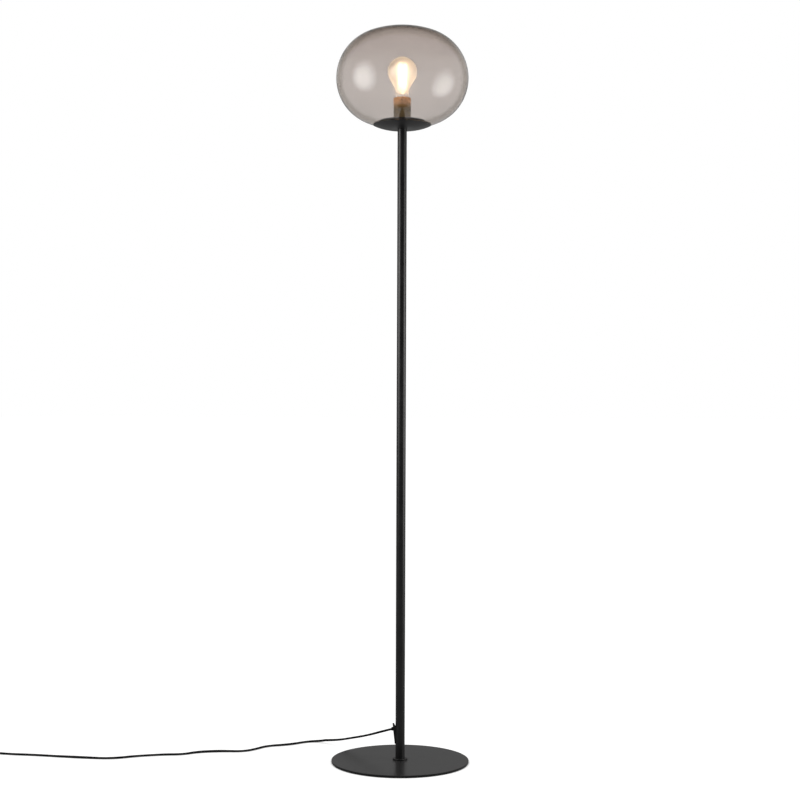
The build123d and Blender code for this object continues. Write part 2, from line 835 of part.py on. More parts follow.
def lead_holes():
    """Bores for the sleeves through both ends, on the split line."""
    half = switch_length / 2
    ends = [switch_plane.from_local_coords((place, 0, switch_split)) for place in (half, -half)]
    with Locations(*ends):
        Cylinder(sleeve_neck + sleeve_slack, 4 * switch_wall, rotation=(90, 0, 0), mode=Mode.SUBTRACT)


screw_clearance = 0.2
terminal_place = mechanism_length / 2 + terminal_gap + terminal_size / 2
boss_place = terminal_place + terminal_size / 2 + boss_gap + boss_radius
boss_places = [(boss_place, boss_side), (-boss_place, -boss_side)]
with BuildPart() as switch_base:
    with BuildSketch(switch_plane):
        switch_outline(0)
    extrude(amount=switch_split)
    fillet(switch_base.faces().sort_by(Axis.Z)[0].edges(), 1.0)
    with BuildSketch(switch_plane.offset(switch_wall)):
        switch_outline(switch_wall)
    extrude(amount=switch_split, mode=Mode.SUBTRACT)
    with BuildSketch(switch_plane.offset(switch_wall)):
        with Locations(*boss_places):
            Circle(boss_radius)
    extrude(amount=switch_split - switch_wall)
    with BuildSketch(switch_plane):
        with Locations(*boss_places):
            Circle(shell_screw / 2 + screw_clearance)
    extrude(amount=switch_split, mode=Mode.SUBTRACT)
    with BuildSketch(switch_plane):
        with Locations(*boss_places):
            Circle(shell_screw_head / 2 + screw_clearance)
    extrude(amount=shell_screw_sink + shell_head_height, mode=Mode.SUBTRACT)
    lead_holes()
switch_base.part.label = "switch_base"
export_step(switch_base.part, "parts/switch_base.step")

button_radius = button_diameter / 2
with BuildPart() as switch_cover:
    with BuildSketch(switch_plane.offset(switch_split)):
        switch_outline(0)
    extrude(amount=switch_height - switch_split)
    fillet(switch_cover.faces().sort_by(Axis.Z)[-1].edges(), switch_edge)
    with BuildSketch(switch_plane.offset(switch_split)):
        switch_outline(switch_wall)
    extrude(amount=switch_height - switch_split - switch_wall, mode=Mode.SUBTRACT)
    with BuildSketch(switch_plane.offset(switch_height)):
        Circle(button_radius + button_gap)
    extrude(amount=-2 * switch_wall, mode=Mode.SUBTRACT)
    with BuildSketch(switch_plane.offset(switch_split)):
        with Locations(*boss_places):
            Circle(boss_radius)
            Circle(shell_screw / 2 + thread_slack, mode=Mode.SUBTRACT)
    extrude(amount=switch_height - switch_split - switch_wall)
    lead_holes()
switch_cover.part.label = "switch_cover"
export_step(switch_cover.part, "parts/switch_cover.step")

flange_top = switch_height - switch_wall - button_gap
flange_bottom = flange_top - button_flange
mechanism_top = switch_wall + mechanism_height
flange_radius = button_radius + 1.6
plunger_bottom = mechanism_top + 0.8
with BuildPart() as button:
    with BuildSketch(switch_plane.offset(flange_bottom)):
        Circle(flange_radius)
    extrude(amount=button_flange)
    with BuildSketch(switch_plane.offset(flange_top)):
        Circle(button_radius)
    extrude(amount=switch_height + button_proud - flange_top)
    fillet(button.faces().sort_by(Axis.Z)[-1].edges(), button_dome)
    with BuildSketch(switch_plane.offset(plunger_bottom)):
        Circle(plunger_diameter / 2)
    extrude(amount=flange_bottom - plunger_bottom)
button.part.label = "switch_button"
export_step(button.part, "parts/switch_button.step")

spring_outer = spring_diameter / 2
with BuildPart() as spring:
    with BuildSketch(switch_plane.offset(mechanism_top)):
        Circle(spring_outer)
        Circle(spring_outer - spring_wire, mode=Mode.SUBTRACT)
    extrude(amount=flange_bottom - mechanism_top)
spring.part.label = "switch_spring"
export_step(spring.part, "parts/switch_spring.step")

with BuildPart() as mechanism:
    with BuildSketch(switch_plane.offset(switch_wall)):
        RectangleRounded(mechanism_length, mechanism_width, 1.5)
    extrude(amount=mechanism_height)
    with BuildSketch(switch_plane.offset(mechanism_top)):
        Circle(plunger_diameter / 2 + 0.3)
    extrude(amount=-(button_travel + 0.5), mode=Mode.SUBTRACT)
mechanism.part.label = "switch_mechanism"
export_step(mechanism.part, "parts/switch_mechanism.step")

terminal_places = [(terminal_place, 0), (-terminal_place, 0)]
screw_shank = terminal_screw / 2
with BuildPart() as terminals:
    with BuildSketch(switch_plane.offset(switch_wall)):
        with Locations(*terminal_places):
            Rectangle(terminal_size, terminal_width)
            Circle(screw_shank + thread_slack, mode=Mode.SUBTRACT)
    extrude(amount=mechanism_height)
terminals.part.label = "switch_terminals"
export_step(terminals.part, "parts/switch_terminals.step")

blade_inner = spring_outer + 1.2
blade_outer = terminal_place + terminal_size / 2
with BuildPart() as blades:
    with BuildSketch(switch_plane.offset(mechanism_top)):
        for side in (1, -1):
            with Locations((side * (blade_inner + blade_outer) / 2, 0)):
                Rectangle(blade_outer - blade_inner, blade_width)
        with Locations(*terminal_places):
            Circle(screw_shank + thread_slack, mode=Mode.SUBTRACT)
    extrude(amount=blade_sheet)
blades.part.label = "switch_blades"
export_step(blades.part, "parts/switch_blades.step")

blade_top = mechanism_top + blade_sheet
with BuildPart() as terminal_screws:
    with BuildSketch(switch_plane.offset(switch_wall + 1.0)):
        with Locations(*terminal_places):
            Circle(screw_shank)
    extrude(amount=blade_top - switch_wall - 1.0)
    with BuildSketch(switch_plane.offset(blade_top)):
        with Locations(*terminal_places):
            Circle(terminal_screw * 0.9)
    extrude(amount=1.8)
    with BuildSketch(switch_plane.offset(blade_top + 1.8)):
        with Locations(*terminal_places):
            Rectangle(2 * terminal_screw, 0.8)
    extrude(amount=-0.9, mode=Mode.SUBTRACT)
terminal_screws.part.label = "terminal_screws"
export_step(terminal_screws.part, "parts/terminal_screws.step")

with BuildPart() as shell_screws:
    with BuildSketch(switch_plane.offset(shell_screw_sink)):
        with Locations(*boss_places):
            Circle(shell_screw_head / 2)
    extrude(amount=shell_head_height)
    with BuildSketch(switch_plane.offset(shell_screw_sink + shell_head_height)):
        with Locations(*boss_places):
            Circle(shell_screw / 2)
    extrude(amount=shell_screw_depth)
shell_screws.part.label = "switch_screws"
export_step(shell_screws.part, "parts/switch_screws.step")

# Tapered rubber sleeves: a flange inside the wall, a neck through it, a cone outside.
sleeve_flange = switch_split - switch_wall - sleeve_flange_gap
flange_face = end_place + sqrt((switch_end_radius - switch_wall) ** 2 - sleeve_flange**2) - sleeve_flange_gap
flange_back = flange_face - sleeve_flange_thickness
with BuildPart() as sleeves:
    with BuildSketch(Plane(switch_plane.origin, x_dir=(0, 1, 0), z_dir=(1, 0, 0))):
        with BuildLine():
            Polyline(
                (flange_back, switch_split),
                (flange_back, switch_split + sleeve_flange),
                (flange_face, switch_split + sleeve_flange),
                (flange_face, switch_split + sleeve_neck),
                (switch_length / 2 + sleeve_slack, switch_split + sleeve_neck),
                (switch_length / 2 + sleeve_slack, switch_split + sleeve_root),
                (sleeve_reach, switch_split + sleeve_tip),
                (sleeve_reach, switch_split),
                close=True,
            )
        make_face()
    revolve(axis=Axis((switch_x, switch_y, switch_split), (0, 1, 0)))
    mirror(about=Plane(switch_plane.origin, z_dir=(0, 1, 0)))
sleeves.part.label = "switch_sleeves"
export_step(sleeves.part, "parts/switch_sleeves.step")

# ---------------------------------------------------------------- plug
plug_rear = plug_tail_y + plug_tail
plug_front = plug_rear + plug_body_length
plug_section = Plane(origin=(plug_x, 0, plug_axis_z), x_dir=(1, 0, 0), z_dir=(0, 1, 0))
with BuildPart() as plug:
    with BuildSketch(Plane((plug_x, 0, 0))):
        with BuildLine():
            Polyline(
                (-plug_shoulder / 2, plug_rear),
                (plug_shoulder / 2, plug_rear),
                (plug_width / 2, plug_rear + plug_taper),
                (plug_width / 2, plug_front - plug_corner),
                (plug_width / 2 - plug_corner, plug_front),
                (plug_corner - plug_width / 2, plug_front),
                (-plug_width / 2, plug_front - plug_corner),
                (-plug_width / 2, plug_rear + plug_taper),
                close=True,
            )
        make_face()
    extrude(amount=plug_thickness)
    fillet(plug.edges().filter_by(Plane.XY), plug_edge)
    with BuildSketch(plug_section.offset(plug_tail_y)):
        Circle(plug_tail_tip)
    with BuildSketch(plug_section.offset(plug_rear + 1.0)):
        Circle(plug_tail_root)
    loft()
plug.part.label = "plug_body"
export_step(plug.part, "parts/plug_body.step")

with BuildPart() as pins:
    with BuildSketch(plug_section.offset(plug_front)):
        with GridLocations(pin_spacing, 0, 2, 1):
            Circle(pin_diameter / 2)
    extrude(amount=pin_length)
    fillet(pins.faces().sort_by(Axis.Y)[-2:].edges(), pin_tip)
pins.part.label = "plug_pins"
export_step(pins.part, "parts/plug_pins.step")
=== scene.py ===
# %% [markdown]
# # A globe floor lamp
# The lamp is a smoked glass globe on a slim black pole. A round steel plate is its foot, and a flat
# mains lead runs across the floor to a foot switch and a plug. The rigid pieces come ready made from
# the frame, at their real size and place. This lesson gives them their finishes, makes the soft and
# fine pieces that the frame leaves plain, and sets up a studio that shows black metal and dark glass.

# %% Load the frame
import json
import math

import bmesh
import bpy
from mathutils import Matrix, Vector

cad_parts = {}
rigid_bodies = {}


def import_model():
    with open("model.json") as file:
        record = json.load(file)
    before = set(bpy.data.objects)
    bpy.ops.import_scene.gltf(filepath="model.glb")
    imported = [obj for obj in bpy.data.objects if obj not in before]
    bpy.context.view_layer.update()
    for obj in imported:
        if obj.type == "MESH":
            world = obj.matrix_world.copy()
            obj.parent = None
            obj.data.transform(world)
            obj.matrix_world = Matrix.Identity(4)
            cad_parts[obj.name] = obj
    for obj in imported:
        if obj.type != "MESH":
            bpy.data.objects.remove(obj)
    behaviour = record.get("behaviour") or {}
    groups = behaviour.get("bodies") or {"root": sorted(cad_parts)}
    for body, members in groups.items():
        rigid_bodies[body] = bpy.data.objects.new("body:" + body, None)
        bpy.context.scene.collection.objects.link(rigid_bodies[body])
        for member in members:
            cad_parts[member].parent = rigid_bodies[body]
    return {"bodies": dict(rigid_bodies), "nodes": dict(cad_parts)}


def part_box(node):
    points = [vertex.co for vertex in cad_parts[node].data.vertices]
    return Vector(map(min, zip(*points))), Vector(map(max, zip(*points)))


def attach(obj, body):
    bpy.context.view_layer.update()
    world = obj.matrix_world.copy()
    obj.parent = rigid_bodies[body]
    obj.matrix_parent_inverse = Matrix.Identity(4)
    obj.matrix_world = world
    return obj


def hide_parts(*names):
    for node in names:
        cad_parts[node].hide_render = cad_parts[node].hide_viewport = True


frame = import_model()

scene = bpy.context.scene
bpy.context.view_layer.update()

# %% [markdown]
# ## The camera
# A product picture of something tall is taken level, from far away with a long lens, so that the
# pole stays straight and the base shows as a thin ellipse. The camera could be aimed with a
# constraint, but a level camera needs only a place and a lens. It rolls a fraction of a degree, so
# that the pole leans a hair to the right.

# %% Place the camera
camera_distance = 3.210
camera_height = 0.7390
camera_aside = -0.0026
camera_roll = math.radians(-0.20)
picture_width = 800
pixels_per_metre = 489.7
sensor_width = 36.0

camera_data = bpy.data.cameras.new("camera")
camera_data.sensor_width = sensor_width
camera_data.lens = sensor_width * pixels_per_metre * camera_distance / picture_width
camera = bpy.data.objects.new("camera", camera_data)
camera.location = (camera_aside, -camera_distance, camera_height)
camera.rotation_euler = (math.radians(90), camera_roll, 0)
scene.collection.objects.link(camera)
scene.camera = camera
scene.view_settings.view_transform = "Standard"
print("lens", round(camera_data.lens, 1), "mm")

# %% [markdown]
# ## Small helpers for node trees
# Every finish here is a node tree. Short helpers keep the trees readable: one adds a node and sets
# its inputs by name, one joins two sockets, and the others do what most trees need.


# %% Helpers for node trees
def add_node(tree, kind, values=None, **settings):
    """A new node of a kind, with its input values and its settings."""
    node = tree.nodes.new(kind)
    for name, value in settings.items():
        setattr(node, name, value)
    for name, value in (values or {}).items():
        node.inputs[name].default_value = value
    return node


def join(tree, source, target):
    """Lead one socket into another."""
    tree.links.new(source, target)


def blank_material(name):
    """A material with an empty tree and its output node."""
    material = bpy.data.materials.new(name)
    material.use_nodes = True
    material.node_tree.nodes.clear()
    output = add_node(material.node_tree, "ShaderNodeOutputMaterial")
    return material, material.node_tree, output


def split(tree, vector):
    """The X, Y and Z outputs of a vector socket."""
    axes = add_node(tree, "ShaderNodeSeparateXYZ")
    join(tree, vector, axes.inputs[0])
    return axes.outputs


def place_on_piece(tree):
    """The place on the piece itself, which moves with it."""
    return add_node(tree, "ShaderNodeTexCoord").outputs["Object"]


def reopened(material):
    """The tree of a finished material and its Principled node."""
    tree = material.node_tree
    return tree, next(node for node in tree.nodes if node.type == "BSDF_PRINCIPLED")


# %% [markdown]
# ## Floor and backdrop
# The picture has a pure white ground. More light would bleach the object as well, so the floor and
# the world glow white only towards the camera and through glass. The floor still takes a soft
# shadow, because a part of its brightness is plain diffuse paint. Mirror-like reflections see the
# floor as a mild grey, so that black metal stays black. Right under a piece, an Ambient Occlusion
# node dims the glow, which gives the thin dark line of a contact shadow.


# %% Make the floor
def combined(tree, operation, first, second):
    """Two values put together by a Math operation. A value is a number or a socket."""
    node = add_node(tree, "ShaderNodeMath", operation=operation)
    for socket, value in zip(node.inputs, (first, second)):
        if isinstance(value, float):
            socket.default_value = value
        else:
            join(tree, value, socket)
    return node.outputs[0]


def product(tree, first, second):
    """Two values multiplied."""
    return combined(tree, "MULTIPLY", first, second)


def total(tree, first, second):
    """Two values added."""
    return combined(tree, "ADD", first, second)


def rays(tree):
    """Masks for the rays that look: straight, through glass, and in a reflection."""
    path = add_node(tree, "ShaderNodeLightPath")
    straight = path.outputs["Is Camera Ray"]
    through = path.outputs["Is Transmission Ray"]
    glossy = path.outputs["Is Glossy Ray"]
    reflected = product(tree, glossy, combined(tree, "SUBTRACT", 1.0, through))
    return straight, through, reflected


def ramp_between(tree, source, low, high, to_low=0.0, to_high=1.0):
    """A smooth step of a value from one level to another."""
    step = add_node(tree, "ShaderNodeMapRange", interpolation_type="SMOOTHSTEP")
    step.inputs["From Min"].default_value = low
    step.inputs["From Max"].default_value = high
    step.inputs["To Min"].default_value = to_low
    step.inputs["To Max"].default_value = to_high
    join(tree, source, step.inputs["Value"])
    return step.outputs["Result"]


floor_reach = 60.0
floor_paint = 0.28
floor_glow = 0.90
floor_shine = 0.17
contact_reach = 0.03
contact_closed = 0.3
contact_level = 0.4
contact_samples = 8

floor_mesh = bpy.data.meshes.new("floor")
corners = [(x, y, 0) for x, y in ((-1, -1), (1, -1), (1, 1), (-1, 1))]
floor_mesh.from_pydata([(x * floor_reach, y * floor_reach, z) for x, y, z in corners], [], [(0, 1, 2, 3)])
floor = bpy.data.objects.new("floor", floor_mesh)
scene.collection.objects.link(floor)

floor_material, tree, output = blank_material("floor_white")
paint = add_node(tree, "ShaderNodeBsdfDiffuse", {"Color": (floor_paint, floor_paint, floor_paint, 1)})
glow = add_node(tree, "ShaderNodeEmission", {"Color": (1, 1, 1, 1)})
straight, through, reflected = rays(tree)
seen = product(tree, combined(tree, "MAXIMUM", straight, through), floor_glow)
shade = add_node(tree, "ShaderNodeAmbientOcclusion", {"Distance": contact_reach}, samples=contact_samples)
open_sky = ramp_between(tree, shade.outputs["AO"], contact_closed, 1.0, contact_level, 1.0)
seen = product(tree, seen, open_sky)
join(tree, total(tree, seen, product(tree, reflected, floor_shine)), glow.inputs["Strength"])
both = add_node(tree, "ShaderNodeAddShader")
join(tree, paint.outputs[0], both.inputs[0])
join(tree, glow.outputs[0], both.inputs[1])
join(tree, both.outputs[0], output.inputs["Surface"])
floor.data.materials.append(floor_material)
print("floor", 2 * floor_reach, "m across")

# %% [markdown]
# ## The room around
# The world is white for the camera and through glass, but darker overhead, where glass gathers it
# into a dark line along the crown. In reflections it is a studio: a mild backdrop behind the lamp and
# a dark room at the camera's side. Black metal has almost no colour of its own, so these reflections
# are what draws its form.

# %% Make the world
world_fill = 0.42
ceiling_start = 0.27
ceiling_end = 0.72
ceiling_level = 0.12
backdrop_start = -0.20
backdrop_end = 0.60
backdrop_level = 0.24
room_level = 0.04

world = bpy.data.worlds.new("studio")
world.use_nodes = True
scene.world = world
tree = world.node_tree
tree.nodes.clear()
output = add_node(tree, "ShaderNodeOutputWorld")
background = add_node(tree, "ShaderNodeBackground", {"Color": (1, 1, 1, 1)})
axes = split(tree, add_node(tree, "ShaderNodeTexCoord").outputs["Generated"])
ceiling = ramp_between(tree, axes["Z"], ceiling_start, ceiling_end, 1.0, ceiling_level)
backdrop = ramp_between(tree, axes["Y"], backdrop_start, backdrop_end, room_level, backdrop_level)
straight, through, reflected = rays(tree)
seen = total(tree, straight, product(tree, through, ceiling))
shone = product(tree, reflected, product(tree, ceiling, backdrop))
filled = product(tree, add_node(tree, "ShaderNodeLightPath").outputs["Is Diffuse Ray"], world_fill)
join(tree, total(tree, seen, total(tree, shone, filled)), background.inputs["Strength"])
join(tree, background.outputs[0], output.inputs["Surface"])
print("world", world.name, "with a backdrop at", backdrop_level, "and a room at", room_level)

# %% [markdown]
# ## Two softboxes
# Large soft lights stand on either side and draw the pale patches on the globe and the two grey
# bands down the pole. A bare area lamp reflects with a hard edge, so its light fades towards the rim:
# Geometry's Parametric output runs from 0 to 1 across the lamp.

# %% Make the softboxes
softbox_distance = 1.25
softbox_colour = (1.0, 0.985, 0.965)
fade_start = 0.08
fade_end = 0.50


def softbox(name, side, height, width, tall, strength, turn):
    """An area lamp at one side, turned about the pole, that faces it and fades towards its own rim."""
    data = bpy.data.lights.new(name, "AREA")
    data.shape = "RECTANGLE"
    data.size = width
    data.size_y = tall
    data.energy = 1.0
    data.use_nodes = True
    tree = data.node_tree
    tree.nodes.clear()
    output = add_node(tree, "ShaderNodeOutputLight")
    light = add_node(tree, "ShaderNodeEmission", {"Color": (*softbox_colour, 1)})
    across = add_node(tree, "ShaderNodeNewGeometry")
    centred = add_node(tree, "ShaderNodeVectorMath", operation="SUBTRACT")
    centred.inputs[1].default_value = (0.5, 0.5, 0.0)
    join(tree, across.outputs["Parametric"], centred.inputs[0])
    length = add_node(tree, "ShaderNodeVectorMath", operation="LENGTH")
    join(tree, centred.outputs[0], length.inputs[0])
    fade = ramp_between(tree, length.outputs["Value"], fade_start, fade_end, strength, 0.0)
    join(tree, fade, light.inputs["Strength"])
    join(tree, light.outputs[0], output.inputs["Surface"])
    lamp = bpy.data.objects.new(name, data)
    lamp.location = (side * softbox_distance * math.cos(turn), softbox_distance * math.sin(turn), height)
    aim = Vector((0, 0, height)) - lamp.location
    lamp.rotation_euler = aim.to_track_quat("-Z", "Y").to_euler()
    lamp.visible_camera = False
    lamp.visible_transmission = False
    scene.collection.objects.link(lamp)


softbox("softbox_left", side=-1, height=1.20, width=1.45, tall=1.75, strength=54.0, turn=-0.38)
softbox("softbox_right", side=1, height=0.85, width=1.45, tall=1.85, strength=44.0, turn=-0.19)
print("lights", [light.name for light in bpy.data.lights])

# %% [markdown]
# ## Effects that several finishes share
# Real surfaces are never even. These node groups give the unevenness: a slow drift of tone, a fine
# skin such as the peel of powder coat or the grain of a moulding, fine lines round a turned piece,
# and dust that settles on what faces up. Each group puts out only masks or heights, and the material
# decides what they change.


# %% Make the shared node groups
def new_group(name, inputs, outputs):
    """A node group with named value inputs and outputs."""
    group = bpy.data.node_groups.new(name, "ShaderNodeTree")
    for label, value in inputs.items():
        socket = group.interface.new_socket(label, in_out="INPUT", socket_type="NodeSocketFloat")
        socket.default_value = value
    for label in outputs:
        group.interface.new_socket(label, in_out="OUTPUT", socket_type="NodeSocketFloat")
    return group, group.nodes.new("NodeGroupInput"), group.nodes.new("NodeGroupOutput")


def noise(tree, place, scale, detail=3.0, roughness=0.55):
    """A noise texture read at a place, its scale a number or a socket."""
    node = add_node(tree, "ShaderNodeTexNoise", {"Detail": detail, "Roughness": roughness})
    join(tree, place, node.inputs["Vector"])
    if isinstance(scale, float):
        node.inputs["Scale"].default_value = scale
    else:
        join(tree, scale, node.inputs["Scale"])
    return node.outputs["Fac"]


def stretched(tree, place, stretch):
    """A place with each axis scaled by its own factor."""
    node = add_node(tree, "ShaderNodeVectorMath", operation="MULTIPLY")
    join(tree, place, node.inputs[0])
    node.inputs[1].default_value = stretch
    return node.outputs[0]


drift_group, group_in, group_out = new_group("tone_drift", {"Scale": 12.0, "Amount": 1.0}, ["Drift"])
where = place_on_piece(drift_group)
clouds = noise(drift_group, where, group_in.outputs["Scale"], detail=5.0, roughness=0.6)
spread = ramp_between(drift_group, clouds, 0.32, 0.68, -1.0, 1.0)
join(drift_group, product(drift_group, spread, group_in.outputs["Amount"]), group_out.inputs["Drift"])

peel_group, group_in, group_out = new_group("fine_skin", {"Scale": 900.0}, ["Height"])
skin = noise(peel_group, place_on_piece(peel_group), group_in.outputs["Scale"], detail=2.0, roughness=0.5)
join(peel_group, skin, group_out.inputs["Height"])

line_group, group_in, group_out = new_group("drawn_lines", {"Scale": 60.0}, ["Lines"])
rings = stretched(line_group, place_on_piece(line_group), (1.0, 1.0, 40.0))
drawn = noise(line_group, rings, group_in.outputs["Scale"], detail=4.0, roughness=0.7)
join(line_group, drawn, group_out.inputs["Lines"])

dust_group, group_in, group_out = new_group("settled_dust", {"Scale": 400.0, "Amount": 0.1}, ["Dust"])
facing = split(dust_group, add_node(dust_group, "ShaderNodeNewGeometry").outputs["Normal"])
upward = ramp_between(dust_group, facing["Z"], 0.2, 0.95)
grains = noise(dust_group, place_on_piece(dust_group), group_in.outputs["Scale"], detail=4.0)
specks = ramp_between(dust_group, grains, 0.35, 0.75)
lying = product(dust_group, product(dust_group, upward, specks), group_in.outputs["Amount"])
join(dust_group, lying, group_out.inputs["Dust"])
print("node groups", [group.name for group in bpy.data.node_groups])

# %% [markdown]
# ## One recipe for solid finishes
# Most finishes differ only in colour, gloss and the scale of their skin. The recipe below mixes two
# tones by the drift, roughens the gloss a little by the same drift, lays dust on top and gives the
# surface its skin through a Bump node. Metals take drawn lines as well.


# %% Write the recipe
# A Mix node has sockets for each kind of data. These are the numbers of those for colours.
mix_colours = (6, 7)
mix_result = 2


def use_group(tree, group, **values):
    """A placed node group with its own values."""
    node = tree.nodes.new("ShaderNodeGroup")
    node.node_tree = group
    for name, value in values.items():
        node.inputs[name].default_value = value
    return node


def mixed_colour(tree, factor, first, second, blend="MIX"):
    """Two colours mixed by a mask. A colour is a tuple or a socket."""
    node = add_node(tree, "ShaderNodeMix", data_type="RGBA", blend_type=blend)
    join(tree, factor, node.inputs["Factor"])
    for number, colour in zip(mix_colours, (first, second)):
        if isinstance(colour, tuple):
            node.inputs[number].default_value = (*colour, 1.0)
        else:
            join(tree, colour, node.inputs[number])
    return node.outputs[mix_result]


dust_colour = (0.30, 0.28, 0.26)
lacquer_roughness = 0.12
fuzz_roughness = 0.4


def solid_finish(name, dark, light, gloss, skin=0.0, skin_scale=900.0, drift_scale=12.0, dust=0.06,
                 metallic=0.0, specular=0.5, lines=0.0, line_scale=60.0, coat=0.0, sheen=0.0):
    """A finish with drifting tone, uneven gloss, a fine skin and a little dust."""
    material, tree, output = blank_material(name)
    surface = add_node(tree, "ShaderNodeBsdfPrincipled",
                       {"Metallic": metallic, "Specular IOR Level": specular})
    if coat:
        surface.inputs["Coat Weight"].default_value = coat
        surface.inputs["Coat Roughness"].default_value = lacquer_roughness
    if sheen:
        surface.inputs["Sheen Weight"].default_value = sheen
        surface.inputs["Sheen Roughness"].default_value = fuzz_roughness
    drift = use_group(tree, drift_group, Scale=drift_scale).outputs["Drift"]
    tone = ramp_between(tree, drift, -1.0, 1.0)
    colour = mixed_colour(tree, tone, dark, light)
    dusty = use_group(tree, dust_group, Amount=dust).outputs["Dust"]
    join(tree, mixed_colour(tree, dusty, colour, dust_colour), surface.inputs["Base Color"])
    dull = ramp_between(tree, drift, -1.0, 1.0, gloss[0], gloss[1])
    height = use_group(tree, peel_group, Scale=skin_scale).outputs["Height"]
    if lines:
        streaks = use_group(tree, line_group, Scale=line_scale).outputs["Lines"]
        dull = total(tree, dull, ramp_between(tree, streaks, 0.3, 0.7, -lines, lines))
    join(tree, dull, surface.inputs["Roughness"])
    bump = add_node(tree, "ShaderNodeBump", {"Strength": 1.0, "Distance": skin})
    join(tree, height, bump.inputs["Height"])
    join(tree, bump.outputs["Normal"], surface.inputs["Normal"])
    join(tree, surface.outputs[0], output.inputs["Surface"])
    return material


materials_before = len(bpy.data.materials)
powder_coat = solid_finish("powder_coat", (0.007, 0.007, 0.0075), (0.012, 0.012, 0.0125), (0.30, 0.38),
                           skin=0.00004, skin_scale=700.0, specular=0.35)
base_coat = solid_finish("base_coat", (0.016, 0.016, 0.017), (0.023, 0.023, 0.024), (0.28, 0.34),
                         skin=0.00004, skin_scale=700.0, specular=0.08)
antique_brass = solid_finish("antique_brass", (0.125, 0.092, 0.045), (0.170, 0.126, 0.062), (0.24, 0.32),
                             skin=0.00001, skin_scale=1500.0, drift_scale=30.0, metallic=1.0, lines=0.05)
plain_brass = solid_finish("plain_brass", (0.66, 0.47, 0.20), (0.82, 0.62, 0.30), (0.20, 0.34),
                           skin=0.00001, skin_scale=1500.0, drift_scale=80.0, metallic=1.0, lines=0.05)
zinc_plate = solid_finish("zinc_plate", (0.50, 0.51, 0.50), (0.66, 0.66, 0.64), (0.25, 0.40),
                          skin=0.00001, skin_scale=1500.0, drift_scale=90.0, metallic=1.0, lines=0.05)
bright_cap = solid_finish("bright_cap", (0.70, 0.69, 0.66), (0.84, 0.83, 0.80), (0.18, 0.30),
                          skin=0.00001, skin_scale=1200.0, drift_scale=90.0, metallic=1.0, lines=0.04)
black_phenolic = solid_finish("black_phenolic", (0.016, 0.014, 0.013), (0.030, 0.026, 0.024), (0.20, 0.30),
                              skin=0.00001, skin_scale=1200.0, drift_scale=60.0, coat=0.3)
black_moulding = solid_finish("black_moulding", (0.014, 0.014, 0.015), (0.026, 0.026, 0.027), (0.42, 0.55),
                              skin=0.00005, skin_scale=1600.0, drift_scale=40.0)
cord_sheath = solid_finish("cord_sheath", (0.005, 0.005, 0.006), (0.010, 0.010, 0.011), (0.58, 0.70),
                           skin=0.00003, skin_scale=900.0, drift_scale=30.0, dust=0.02, specular=0.18)
soft_rubber = solid_finish("soft_rubber", (0.008, 0.008, 0.008), (0.016, 0.016, 0.016), (0.55, 0.70),
                           skin=0.00004, skin_scale=1400.0, drift_scale=40.0, specular=0.3)
foam_pad = solid_finish("foam_pad", (0.008, 0.008, 0.008), (0.018, 0.018, 0.018), (0.85, 0.95),
                        skin=0.00020, skin_scale=600.0, drift_scale=25.0, specular=0.15, sheen=0.05)
white_ceramic = solid_finish("white_ceramic", (0.72, 0.70, 0.66), (0.84, 0.83, 0.79), (0.25, 0.40),
                             skin=0.00002, skin_scale=900.0, drift_scale=60.0)
milky_silicone = solid_finish("milky_silicone", (0.62, 0.61, 0.58), (0.74, 0.73, 0.70), (0.40, 0.55),
                              skin=0.00002, skin_scale=900.0, drift_scale=60.0)
print("solid finishes", len(bpy.data.materials) - materials_before)

# %% [markdown]
# The plate's face has the clear gloss of a coat that flowed out level. Its turned rim took only a thin
# film, so there the coat stays dull and the rim reads as a dark line.

# %% Keep the gloss to the plate's face
face_gloss = 0.75
face_gloss_roughness = 0.30

tree, surface = reopened(base_coat)
facing = split(tree, add_node(tree, "ShaderNodeNewGeometry").outputs["Normal"])
level = ramp_between(tree, facing["Z"], 0.6, 0.95, 0.0, face_gloss)
join(tree, level, surface.inputs["Coat Weight"])
surface.inputs["Coat Roughness"].default_value = face_gloss_roughness
print("plate gloss", face_gloss, "on its face, none on its rim")

# %% [markdown]
# Towards its mouth, the lampholder's cover takes a warm copper tone in uneven patches and turns less
# metallic.
# This is painted light: it stands in for the bulb's warm light, which the glass throws back onto the
# cover's top.

# %% Paint the bulb's warm light onto the cover's mouth
cover_low, cover_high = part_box("holder_cover")
cover_glow_band = 0.026
painted_cover_glow_tone = (0.78, 0.40, 0.17)
cover_glow_metallic = 0.5

tree, surface = reopened(antique_brass)
patina = surface.inputs["Base Color"].links[0].from_socket
blotches = use_group(tree, drift_group, Scale=60.0, Amount=0.25).outputs["Drift"]
cover_glow_start = cover_high.z - cover_glow_band
height = ramp_between(tree, split(tree, place_on_piece(tree))["Z"], cover_glow_start, cover_high.z)
# Painted light: a warm copper tone in uneven patches, fading down from the cover's mouth.
painted_cover_glow = total(tree, height, product(tree, height, blotches))
join(tree, mixed_colour(tree, painted_cover_glow, patina, painted_cover_glow_tone), surface.inputs["Base Color"])
join(tree, ramp_between(tree, painted_cover_glow, 0.0, 1.0, 1.0, cover_glow_metallic), surface.inputs["Metallic"])
print("cover", round(cover_high.z - cover_low.z, 4), "m tall, rubbed above", round(cover_glow_start, 4), "m")
